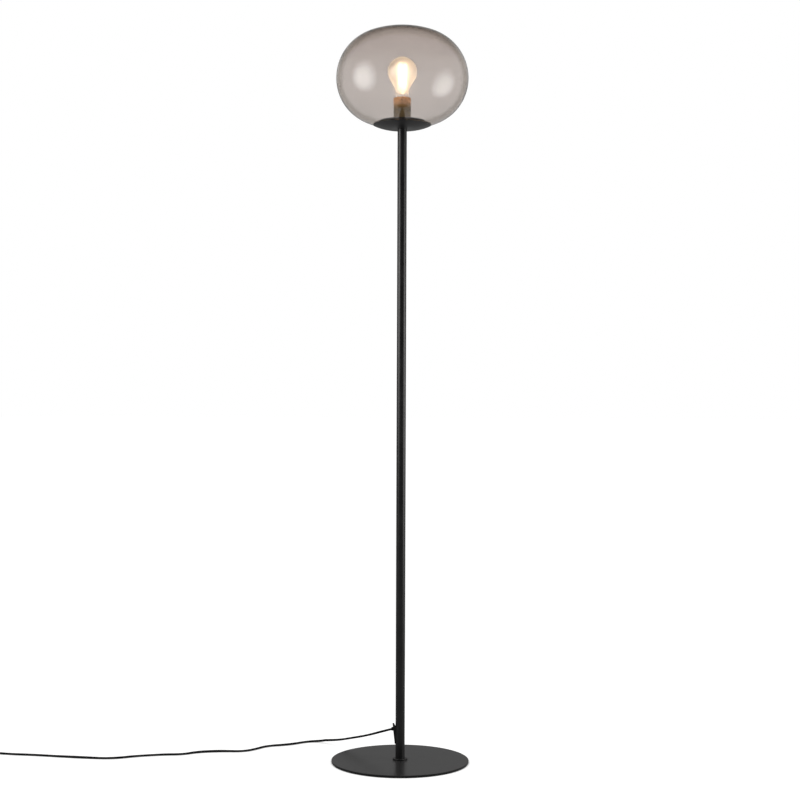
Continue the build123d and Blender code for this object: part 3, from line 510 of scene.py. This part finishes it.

# %% [markdown]
# ## Smoked glass
# The globe is blown glass with a warm grey tint in the mass. Light crosses its wall twice on the
# way through, so each crossing takes only part of the colour. The tint is a little deeper in the
# crown, which is painted shade. It is darker again towards the outline, partly because light goes
# through more glass there and partly as painted shade. Rays from lamps pass straight through a
# tinted Transparent shader, because refracting them would cost many samples and leave a black
# shadow. The same helper makes the bulb's frosted envelope and the clear stem inside it, whose
# painted glow is brighter towards its top.

# %% Make the smoked glass
glass_low, glass_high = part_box("glass_globe")
glass_middle = (glass_low.z + glass_high.z) / 2
smoke_light = (0.705, 0.667, 0.643)
smoke_crown_shade = (0.675, 0.620, 0.590)
smoke_edge_shade = (0.68, 0.65, 0.61)
edge_start = 0.55
edge_end = 0.69
glass_ior = 1.5
lamp_tone = (1.0, 0.74, 0.46)
least_glow = 0.4
unlit = (0.0, 0.0, 0.0)
bulb_low, bulb_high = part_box("bulb_envelope")
bulb_tint = (1.0, 0.99, 0.97)
stem_dim = 1.35
stem_bright = 1.42


def glass_finish(name, light, deep, from_height, to_height, roughness, ripple, shadow, edge=None, glow=0.0):
    """Clear or tinted glass, deeper with height and at its edge, with faint ripples and a warm glow."""
    material, tree, output = blank_material(name)
    surface = add_node(tree, "ShaderNodeBsdfPrincipled",
                       {"Metallic": 0.0, "Transmission Weight": 1.0, "IOR": glass_ior})
    where = place_on_piece(tree)
    height = split(tree, where)["Z"]
    drift = use_group(tree, drift_group, Scale=9.0, Amount=0.03).outputs["Drift"]
    # The tint deepens with height; on the globe this is painted shade in the crown.
    depth = total(tree, ramp_between(tree, height, from_height, to_height), drift)
    tint = mixed_colour(tree, depth, light, deep)
    # Towards the outline the tint darkens: partly real, as light crosses more glass, and partly painted
    # shade.
    if edge:
        slant = add_node(tree, "ShaderNodeLayerWeight", {"Blend": 0.5}).outputs["Facing"]
        edge_shade = ramp_between(tree, slant, edge_start, edge_end)
        tint = mixed_colour(tree, edge_shade, tint, edge, blend="MULTIPLY")
    join(tree, tint, surface.inputs["Base Color"])
    smears = use_group(tree, drift_group, Scale=24.0).outputs["Drift"]
    dull = ramp_between(tree, smears, -1.0, 1.0, roughness[0], roughness[1])
    join(tree, dull, surface.inputs["Roughness"])
    bump = add_node(tree, "ShaderNodeBump", {"Strength": 1.0, "Distance": ripple})
    join(tree, noise(tree, where, scale=14.0, detail=1.0), bump.inputs["Height"])
    join(tree, bump.outputs["Normal"], surface.inputs["Normal"])
    # Painted light: the stem glows with the filaments' warm light, brighter towards its top.
    if glow:
        surface.inputs["Emission Strength"].default_value = glow
        lit = ramp_between(tree, height, from_height, to_height, least_glow, 1.0)
        join(tree, mixed_colour(tree, lit, unlit, lamp_tone), surface.inputs["Emission Color"])
    passed = add_node(tree, "ShaderNodeBsdfTransparent", {"Color": (*shadow, 1)})
    mix = add_node(tree, "ShaderNodeMixShader")
    join(tree, add_node(tree, "ShaderNodeLightPath").outputs["Is Shadow Ray"], mix.inputs["Fac"])
    join(tree, surface.outputs[0], mix.inputs[1])
    join(tree, passed.outputs[0], mix.inputs[2])
    join(tree, mix.outputs[0], output.inputs["Surface"])
    return material


smoked_glass = glass_finish("smoked_glass", smoke_light, smoke_crown_shade, glass_middle, glass_high.z,
                            roughness=(0.0, 0.02), ripple=0.0002, shadow=(0.86, 0.83, 0.81),
                            edge=smoke_edge_shade)
bulb_glass = glass_finish("bulb_glass", bulb_tint, bulb_tint, bulb_low.z, bulb_high.z,
                          roughness=(0.32, 0.38), ripple=0.0, shadow=(0.98, 0.97, 0.95))
stem_glass = glass_finish("stem_glass", (0.97, 0.97, 0.96), (0.90, 0.91, 0.91), stem_dim, stem_bright,
                          roughness=(0.05, 0.12), ripple=0.00005, shadow=(0.97, 0.97, 0.96), glow=0.9)
print("globe", round(glass_high.x - glass_low.x, 4), "by", round(glass_high.z - glass_low.z, 4), "m")
print("bulb", round(bulb_high.x - bulb_low.x, 4), "m wide")

# %% [markdown]
# ## The light in the bulb
# Four upright filaments carry the light. Each is a glass strip of tiny lamps under a yellow coat,
# with bare metal tips. The emission colour changes along it, and the tips stay dark. So thin a mesh
# would need many samples to light anything, so a small warm point lamp throws their light: it makes
# the frosted envelope glow round them.

# %% Light the filaments
filament_low, filament_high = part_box("bulb_filaments")
filament_tip = 0.0015
filament_light = 14.0
chip_dim = (1.0, 0.66, 0.34)
chip_bright = (1.0, 0.78, 0.48)
tip_metal = (0.5, 0.5, 0.5)
yellow_coat = (0.8, 0.6, 0.2)
bulb_light = 0.55
bulb_light_tone = (1.0, 0.76, 0.52)
bulb_light_size = 0.022
bulb_light_rise = 0.014

filament_glow, tree, output = blank_material("filament_glow")
surface = add_node(tree, "ShaderNodeBsdfPrincipled",
                   {"Roughness": 0.4, "Emission Strength": filament_light})
where = place_on_piece(tree)
height = split(tree, where)["Z"]
above = ramp_between(tree, height, filament_low.z, filament_low.z + filament_tip)
below = ramp_between(tree, height, filament_high.z - filament_tip, filament_high.z, 1.0, 0.0)
lit = product(tree, above, below)
chips = ramp_between(tree, noise(tree, where, scale=500.0, detail=1.0), 0.3, 0.7)
strip = mixed_colour(tree, chips, chip_dim, chip_bright)
join(tree, mixed_colour(tree, lit, unlit, strip), surface.inputs["Emission Color"])
join(tree, mixed_colour(tree, lit, tip_metal, yellow_coat), surface.inputs["Base Color"])
join(tree, surface.outputs[0], output.inputs["Surface"])

bulb_lamp_data = bpy.data.lights.new("bulb_lamp", "POINT")
bulb_lamp_data.energy = bulb_light
bulb_lamp_data.color = bulb_light_tone
bulb_lamp_data.shadow_soft_size = bulb_light_size
bulb_lamp = bpy.data.objects.new("bulb_lamp", bulb_lamp_data)
bulb_lamp.location = (0, 0, filament_low.z + bulb_light_rise)
bulb_lamp.visible_camera = False
bulb_lamp.visible_transmission = False
bulb_lamp.parent = frame["bodies"]["bulb"]
scene.collection.objects.link(bulb_lamp)
print("filaments", round(filament_high.z - filament_low.z, 4), "m tall")

# %% [markdown]
# The rolled rim of the cap stands out of the holder, right under the light, and gleams warmly. A faint
# emission that begins just inside the holder's mouth stands in for that.

# %% Let the cap's rim gleam
cap_low, cap_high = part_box("bulb_cap")
rim_gleam = 0.55
rim_tone = (1.0, 0.80, 0.62)
gleam_depth = 0.002
gleam_start = cover_high.z - gleam_depth

tree, surface = reopened(bright_cap)
lit = ramp_between(tree, split(tree, place_on_piece(tree))["Z"], gleam_start, cap_high.z)
join(tree, mixed_colour(tree, lit, unlit, rim_tone), surface.inputs["Emission Color"])
surface.inputs["Emission Strength"].default_value = rim_gleam
print("gleam above", round(gleam_start, 4), "m")

# %% [markdown]
# ## Dress the rigid pieces
# Most pieces of the frame keep their shape and take their finish here. The lead, the switch's sleeves,
# the bulb's cap and the holder's shell are made anew further down, and the plug's pins come with them.

# %% Dress the rigid pieces
finishes = [
    (powder_coat, ["pole_foot", "pole_tube", "dish", "glass_locator"]),
    (base_coat, ["base_plate"]),
    (foam_pad, ["base_pad"]),
    (zinc_plate, ["base_screw", "pole_top_plug", "threaded_nipple", "lock_washer", "clamp_nut",
                  "switch_spring", "terminal_screws", "switch_screws"]),
    (antique_brass, ["holder_cover"]),
    (plain_brass, ["holder_contact", "bulb_eyelet", "switch_blades"]),
    (black_phenolic, ["holder_insert", "bulb_insulator"]),
    (black_moulding, ["switch_base", "switch_cover", "switch_button", "plug_body"]),
    (soft_rubber, ["cable_outlet"]),
    (cord_sheath, ["inner_cable"]),
    (white_ceramic, ["switch_mechanism", "switch_terminals"]),
    (milky_silicone, ["glass_gasket"]),
    (smoked_glass, ["glass_globe"]),
    (bulb_glass, ["bulb_envelope"]),
    (stem_glass, ["bulb_stem"]),
    (filament_glow, ["bulb_filaments"]),
]


def dress(node, material):
    """Give a frame node its finish."""
    piece = frame["nodes"][node]
    if not piece.material_slots:
        piece.data.materials.append(material)
    for slot in piece.material_slots:
        slot.material = material


for material, names in finishes:
    for name in names:
        dress(name, material)
print("dressed", sum(len(names) for material, names in finishes), "nodes in", len(finishes), "finishes")

# %% [markdown]
# ## The mains lead
# The lead is a flat twin, 5.2 mm wide and 4.2 mm thick, that leaves the pole low on its left flank,
# sags to the floor and wanders off to the left. It could be a bevelled curve, but a flat section
# has to roll as it goes, so it is a tube that follows a smooth spline. On the floor it mostly lies
# on its flat side and leans over in places. In the coil it stands on edge, as a flat lead does when
# it is wound.

# %% Choose the route
exit_point = (-0.0166, 0.0058, 0.066)
floor_line = 0.0027
switch_line = 0.0065
run_points = [
    exit_point,
    (-0.034, 0.034, 0.056),
    (-0.066, 0.068, 0.040),
    (-0.103, 0.109, 0.025),
    (-0.130, 0.141, 0.014),
    (-0.158, 0.170, 0.007),
    (-0.182, 0.182, 0.0038),
    (-0.205, 0.175, floor_line),
    (-0.223, 0.158, floor_line),
    (-0.246, 0.145, floor_line),
    (-0.284, 0.134, floor_line),
    (-0.306, 0.102, floor_line),
    (-0.328, 0.082, floor_line),
    (-0.374, 0.084, floor_line),
    (-0.424, 0.074, floor_line),
    (-0.452, 0.052, floor_line),
    (-0.492, 0.050, floor_line),
    (-0.544, 0.036, floor_line),
    (-0.586, 0.013, floor_line),
    (-0.636, 0.017, floor_line),
    (-0.694, 0.028, floor_line),
    (-0.752, 0.042, floor_line),
    (-0.812, 0.050, floor_line),
    (-0.854, 0.062, 0.0038),
    (-0.878, 0.042, switch_line),
    (-0.878, 0.014, switch_line),
]
print("route points", len(run_points))

# %% [markdown]
# The rest of the lead is put away: it leaves the switch, winds nine half turns in two layers and
# ends in the plug. The turns come from a formula. A quadratic spline cuts inside its control
# points, so the points stand a little further out than the turns.

# %% Work out the coil
coil_centre = Vector((-0.9123, -0.1652, 0))
coil_radius = 0.0343
coil_step = 0.0057
half_turns = 9
points_per_half_turn = 8
spline_cut = 0.75 + 0.25 * math.cos(math.pi / points_per_half_turn)

coil_points = []
for index in range(half_turns * points_per_half_turn + 1):
    turned = index / points_per_half_turn
    radius = (coil_radius - min(turned, half_turns - turned) * coil_step / 2) / spline_cut
    layer = max(0.0, min(1.0, turned - half_turns // 2))
    around = Vector((math.cos(math.pi * turned), -math.sin(math.pi * turned), 0)) * radius
    coil_points.append(tuple(coil_centre + around + Vector((0, 0, floor_line + coil_step * layer))))

link_points = [
    (-0.878, -0.108, switch_line),
    (-0.878, -0.124, switch_line),
    (-0.878, -0.146, floor_line),
    (-0.878, -0.160, floor_line),
]
tail_points = [
    (-0.9466, -0.160, 0.0084),
    (-0.9466, -0.146, 0.0084),
    (-0.948, -0.119, 0.00685),
    (-0.948, -0.104, 0.00685),
]
print("coil points", len(coil_points))


# %% [markdown]
# A NURBS spline makes the line smooth. The tube reads its points from that spline, puts a rounded
# flat section across it at each point and rolls the section as it goes.


# %% Make the flat tubes
cord_width = 0.0052
cord_thickness = 0.0042
floor_gap = 0.0001
settle_height = 0.004
sleeve_tuck = 0.0012
section_points = 20
spline_steps = 12
slow_lean = 0.55
slow_lean_rate = 21.0
quick_lean = 0.35
quick_lean_rate = 47.0
lean_shift = 0.6
turn_in = 0.075


def smooth_line(name, points):
    """Points along a NURBS spline that has these control points."""
    curve = bpy.data.curves.new(name, "CURVE")
    curve.dimensions = "3D"
    curve.resolution_u = spline_steps
    spline = curve.splines.new("NURBS")
    spline.points.add(len(points) - 1)
    for control, place in zip(spline.points, points):
        control.co = (*place, 1.0)
    spline.order_u = 3
    spline.use_endpoint_u = True
    spline.resolution_u = spline_steps
    holder = bpy.data.objects.new(name, curve)
    scene.collection.objects.link(holder)
    mesh = bpy.data.meshes.new_from_object(holder)
    line = [vertex.co.copy() for vertex in mesh.vertices]
    bpy.data.objects.remove(holder)
    return line


def distances(line):
    """How far along the line each point lies."""
    along = [0.0]
    for before, after in zip(line, line[1:]):
        along.append(along[-1] + (after - before).length)
    return along


def flat_section():
    """The rounded flat section of a twin lead, as places across its width and thickness."""
    end = cord_thickness / 2
    straight = cord_width / 2 - end
    places = []
    for index in range(section_points):
        angle = 2 * math.pi * (index + 0.5) / section_points
        shift = math.copysign(straight, math.cos(angle))
        places.append((shift + end * math.cos(angle), end * math.sin(angle)))
    return places


def build_mesh(name, points, faces):
    """A smooth shaded object from points and faces."""
    mesh = bpy.data.meshes.new(name)
    mesh.from_pydata([tuple(point) for point in points], [], faces)
    form = bmesh.new()
    form.from_mesh(mesh)
    bmesh.ops.recalc_face_normals(form, faces=form.faces)
    form.to_mesh(mesh)
    form.free()
    mesh.shade_smooth()
    piece = bpy.data.objects.new(name, mesh)
    scene.collection.objects.link(piece)
    return piece


def ring_faces(rings, size):
    """Faces of a tube of rings of one size, with both ends closed."""
    faces = []
    for ring in range(rings - 1):
        for index in range(size):
            after = (index + 1) % size
            low = ring * size
            faces.append((low + index, low + after, low + size + after, low + size + index))
    faces.append(tuple(reversed(range(size))))
    faces.append(tuple((rings - 1) * size + index for index in range(size)))
    return faces


def flat_tube(name, line, roll_at):
    """A flat tube along a line, on the floor where the line is low. roll_at gives its roll."""
    section = flat_section()
    along = distances(line)
    points = []
    places = tucked(list(zip(line, along)), sleeve_tuck)
    for index, (place, distance) in enumerate(places):
        before = places[max(index - 1, 0)][0]
        after = places[min(index + 1, len(places) - 1)][0]
        forward = (after - before).normalized()
        side = Vector((0, 0, 1)).cross(forward).normalized()
        lift = forward.cross(side)
        roll = roll_at(distance, along[-1])
        half_height = cord_thickness / 2 + (cord_width - cord_thickness) / 2 * abs(math.sin(roll))
        on_floor = max(0.0, min(1.0, 1 - (place.z - floor_line) / settle_height))
        lowered = place + Vector((0, 0, (half_height + floor_gap - place.z) * on_floor))
        for across, up in section:
            turned = Vector((across * math.cos(roll) - up * math.sin(roll),
                             across * math.sin(roll) + up * math.cos(roll)))
            points.append(lowered + side * turned.x + lift * turned.y)
    return build_mesh(name, points, ring_faces(len(places), len(section)))


def tucked(places, tuck):
    """The places with both ends run on by a short length, so that they seat in their sleeves."""
    first, second = places[0][0], places[1][0]
    last, before = places[-1][0], places[-2][0]
    start = first + (first - second).normalized() * tuck
    end = last + (last - before).normalized() * tuck
    return [(start, places[0][1]), *places, (end, places[-1][1])]


def run_roll(distance, length):
    """The lead lies flat at both ends and leans over in slow turns between them."""
    ends = math.sin(math.pi * distance / length) ** 0.5
    slow = slow_lean * math.sin(distance * slow_lean_rate + lean_shift)
    return ends * (slow + quick_lean * math.sin(distance * quick_lean_rate))


def coil_roll(distance, length):
    """Flat at the switch and the plug, on edge through the coil."""
    share = min(distance, length - distance) / turn_in
    share = max(0.0, min(1.0, share))
    return math.pi / 2 * share * share * (3 - 2 * share)


run_line = smooth_line("run_line", run_points)
run_length = distances(run_line)[-1]
lead_run = flat_tube("lead_run", run_line, run_roll)
coil_line = smooth_line("coil_line", link_points + coil_points + tail_points)
coil_length = distances(coil_line)[-1]
lead_coil = flat_tube("lead_coil", coil_line, coil_roll)
for piece in (lead_run, lead_coil):
    piece.data.materials.append(cord_sheath)
    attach(piece, "lamp")
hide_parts("cord_run")
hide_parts("cord_link", "cord_coil", "cord_tail")
print("run", round(run_length, 3), "m, coil with its ends", round(coil_length, 3), "m")

# %% [markdown]
# ## Turned pieces with ribs and threads
# Ribbed sleeves, rolled threads and moulded rings are all turned forms. One helper turns a profile
# about an axis. A thread is the same form with a radius that also depends on the angle.


# %% Write the turning helper
def turned_piece(name, profile, centre, axis="Z", steps=64, radius_at=None):
    """A closed form turned about an axis through a centre. profile is a list of (along, radius)."""
    points = []
    for along, radius in profile:
        for index in range(steps):
            angle = 2 * math.pi * index / steps
            reach = radius if radius_at is None else radius_at(along, radius, angle)
            spot = (reach * math.cos(angle), reach * math.sin(angle), along)
            if axis == "Y":
                spot = (spot[0], spot[2], -spot[1])
            points.append(Vector(centre) + Vector(spot))
    faces = []
    rings = len(profile)
    for ring in range(rings):
        for index in range(steps):
            after = (index + 1) % steps
            low, high = ring * steps, (ring + 1) % rings * steps
            faces.append((low + index, low + after, high + after, high + index))
    return build_mesh(name, points, faces)


def merge(name, pieces, material, body):
    """Several meshes joined into one piece that rides on a body."""
    points, faces = [], []
    for piece in pieces:
        start = len(points)
        points += [vertex.co.copy() for vertex in piece.data.vertices]
        faces += [tuple(start + index for index in polygon.vertices) for polygon in piece.data.polygons]
        bpy.data.objects.remove(piece)
    whole = build_mesh(name, points, faces)
    whole.data.materials.append(material)
    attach(whole, body)
    return whole


# %% [markdown]
# ## Ribbed sleeves on the foot switch
# Each end of the switch has a tapered rubber sleeve with ribs round it, so that the lead bends
# gently. The ribs could be a bump, but they show in the outline, so the profile has them.

# %% Make the ribbed sleeves
sleeve_low, sleeve_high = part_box("switch_sleeves")
sleeve_root = (sleeve_high.x - sleeve_low.x) / 2
sleeve_middle = (sleeve_low + sleeve_high) / 2
sleeve_reach = (sleeve_high.y - sleeve_low.y) / 2
sleeve_inside = 0.0365
sleeve_face = 0.0431
sleeve_neck = 0.0039
sleeve_tip = 0.0034
sleeve_bore = 0.00275
rib_count = 6
rib_steps = 8
rib_depth = 0.0006


def sleeve_profile():
    """Half section of a sleeve from inside the switch to its tip, bore included."""
    profile = [(sleeve_inside, sleeve_bore), (sleeve_inside, sleeve_neck), (sleeve_face, sleeve_neck)]
    steps = rib_count * rib_steps
    for index in range(steps + 1):
        share = index / steps
        cone = sleeve_root + (sleeve_tip - sleeve_root) * share
        groove = rib_depth * (0.5 - 0.5 * math.cos(2 * math.pi * rib_count * share)) ** 2
        profile.append((sleeve_face + (sleeve_reach - sleeve_face) * share, cone - groove))
    profile.append((sleeve_reach, sleeve_bore))
    return profile


def ribbed_sleeve(name, side):
    """A sleeve at one end of the switch. side is 1 where the lead comes in and -1 where it leaves."""
    profile = [(side * along, radius) for along, radius in sleeve_profile()]
    sleeve = turned_piece(name, profile[::side], sleeve_middle, axis="Y")
    sleeve.data.materials.append(soft_rubber)
    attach(sleeve, "lamp")
    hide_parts("switch_sleeves")
    return sleeve


sleeve_in = ribbed_sleeve("sleeve_in_ribbed", 1)
sleeve_out = ribbed_sleeve("sleeve_out_ribbed", -1)
print("sleeves", round(sleeve_reach * 2000, 1), "mm from tip to tip")

# %% [markdown]
# ## Rolled threads
# The bulb's cap and the shell in the holder are thin metal with a rounded thread rolled into it.
# The thread climbs 3.6 mm a turn. It is a wave in the radius that moves with the angle.

# %% Roll the threads
thread_pitch = 0.0036
thread_fade = 0.002
thread_steps = 96
height_step = 0.0003
cap_radius = (cap_high.x - cap_low.x) / 2
cap_collar = 0.006
cap_skirt = cap_high.z - cap_collar
cap_step = 0.0006
thread_depth = 0.0009
sheet = 0.0003


def rolled(low, high, depth):
    """A radius that dips by a thread between two heights. A negative radius stays plain."""
    def radius_at(along, radius, angle):
        if radius < 0:
            return -radius
        fade = max(0.0, min(1.0, (along - low) / thread_fade, (high - along) / thread_fade))
        wave = 0.5 - 0.5 * math.cos(2 * math.pi * along / thread_pitch - angle)
        return radius - depth * wave * fade
    return radius_at


def heights(low, high, step):
    """Evenly spaced heights from low to high."""
    count = max(2, round((high - low) / step))
    return [low + (high - low) * index / count for index in range(count + 1)]


outside = [(along, cap_radius) for along in heights(cap_low.z, cap_high.z, height_step)]
inside = [
    (cap_high.z, -(cap_radius - sheet)),
    (cap_skirt, -(cap_radius - sheet)),
    (cap_skirt - cap_step, -(cap_radius - thread_depth - sheet)),
    (cap_low.z, -(cap_radius - thread_depth - sheet)),
]
cap_piece = turned_piece("bulb_cap_threaded", outside + inside, (0, 0, 0), steps=thread_steps,
                         radius_at=rolled(cap_low.z, cap_skirt, thread_depth))
cap_piece.data.materials.append(bright_cap)
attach(cap_piece, "bulb")
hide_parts("bulb_cap")

shell_low, shell_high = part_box("holder_shell")
shell_radius = (shell_high.x - shell_low.x) / 2
shell_sheet = 0.00015
shell_depth = 0.0003
outside = [(along, shell_radius) for along in heights(shell_low.z, shell_high.z, height_step)]
inside = [(along, radius - shell_sheet) for along, radius in reversed(outside)]
shell_piece = turned_piece("holder_shell_threaded", outside + inside, (0, 0, 0), steps=thread_steps,
                           radius_at=rolled(shell_low.z, shell_high.z, shell_depth))
shell_piece.data.materials.append(plain_brass)
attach(shell_piece, "lamp")
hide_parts("holder_shell")
print("thread turns", round((cap_skirt - cap_low.z) / thread_pitch, 1))

# %% [markdown]
# ## Plug details
# A moulded plug has ribs round its tail and upright grips on its flanks. Its pins are brass with a
# black sleeve near the body, which is a change of material along the pin.

# %% Add the plug's ribs and grips
plug_low, plug_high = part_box("plug_body")
plug_x = (plug_low.x + plug_high.x) / 2
plug_axis = (plug_low.z + plug_high.z) / 2
tail_start = plug_low.y
tail_length = 0.022
tail_tip = 0.0034
tail_root = 0.0050
tail_ribs = 5
first_rib = 0.7
rib_spaces = tail_ribs + 0.6
rib_half_width = 0.0011
rib_height = 0.0007
rib_rise = 0.0001
rib_facets = 12
grip_count = 5
grip_pitch = 0.0024
grip_setback = 0.0075
grip_half_height = 0.0042
grip_depth = 0.0005
grip_half_width = 0.0007
grip_facets = 10
grip_step = 0.0006
grip_squareness = 6


def tail_rib(index):
    """A rounded ring round the plug's tail."""
    share = (index + first_rib) / rib_spaces
    middle = tail_start + tail_length * share
    surface = tail_tip + (tail_root - tail_tip) * share
    ring = []
    for step in range(rib_facets):
        angle = 2 * math.pi * step / rib_facets
        along = middle + rib_half_width * math.cos(angle)
        ring.append((along, surface + rib_rise + rib_height * math.sin(angle)))
    return turned_piece("tail_rib", ring[::-1], (plug_x, 0, plug_axis), axis="Y", steps=48)


def grip_bar(side, place):
    """An upright rounded bar on one flank of the plug."""
    rows = []
    half = grip_half_height
    flank = plug_x + side * (plug_high.x - plug_low.x) / 2
    for height in heights(-half, half, grip_step):
        swell = math.sqrt(max(0.0, 1 - (height / half) ** grip_squareness))
        for step in range(grip_facets):
            angle = 2 * math.pi * step / grip_facets
            out = grip_depth * math.cos(angle) * swell
            aside = grip_half_width * math.sin(angle) * swell
            rows.append(Vector((flank + out, place + aside, plug_axis + height)))
    return build_mesh("grip_bar", rows, ring_faces(len(rows) // grip_facets, grip_facets))


plug_ribs = merge("plug_tail_ribs", [tail_rib(index) for index in range(tail_ribs)],
                  black_moulding, "lamp")
grip_places = [plug_high.y - grip_setback - grip_pitch * index for index in range(grip_count)]
plug_grips = merge("plug_grips", [grip_bar(side, place) for side in (-1, 1) for place in grip_places],
                   black_moulding, "lamp")
print("plug ribs", tail_ribs, "and grips", 2 * grip_count)

# %% Finish the plug's pins
pins_low, pins_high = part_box("plug_pins")
pin_sleeve = 0.010
sleeve_edge = 0.0002
sleeve_black = (0.02, 0.02, 0.02)
pin_dull = (0.60, 0.56, 0.48)
pin_bright = (0.78, 0.75, 0.68)

pin_finish, tree, output = blank_material("pin_finish")
surface = add_node(tree, "ShaderNodeBsdfPrincipled")
edge = pins_low.y + pin_sleeve
bare = ramp_between(tree, split(tree, place_on_piece(tree))["Y"], edge, edge + sleeve_edge)
wear = use_group(tree, drift_group, Scale=220.0).outputs["Drift"]
brass_tone = mixed_colour(tree, ramp_between(tree, wear, -1.0, 1.0), pin_dull, pin_bright)
join(tree, mixed_colour(tree, bare, sleeve_black, brass_tone), surface.inputs["Base Color"])
join(tree, bare, surface.inputs["Metallic"])
join(tree, ramp_between(tree, wear, -1.0, 1.0, 0.22, 0.36), surface.inputs["Roughness"])
join(tree, surface.outputs[0], output.inputs["Surface"])
dress("plug_pins", pin_finish)
print("pins bare up to", round(pins_high.y - pins_low.y - pin_sleeve, 4), "m from their sleeves")

# %% [markdown]
# ## The switch's button
# The round button has a raised ring, so that a foot finds it.

# %% Add the ring on the button
button_low, button_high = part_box("switch_button")
button_centre = (button_low + button_high) / 2
ring_radius = 0.0072
ring_rise = 0.00035
ring_half_width = 0.0006
ring_facets = 16

ring_section = []
for step in range(ring_facets):
    angle = 2 * math.pi * step / ring_facets
    rise = ring_rise * math.sin(angle)
    ring_section.append((button_high.z + rise, ring_radius + ring_half_width * math.cos(angle)))
button_ring = turned_piece("button_ring", ring_section, (button_centre.x, button_centre.y, 0), steps=72)
button_ring.data.materials.append(black_moulding)
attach(button_ring, "button")
print("ring on the button", 2 * ring_radius, "m across")
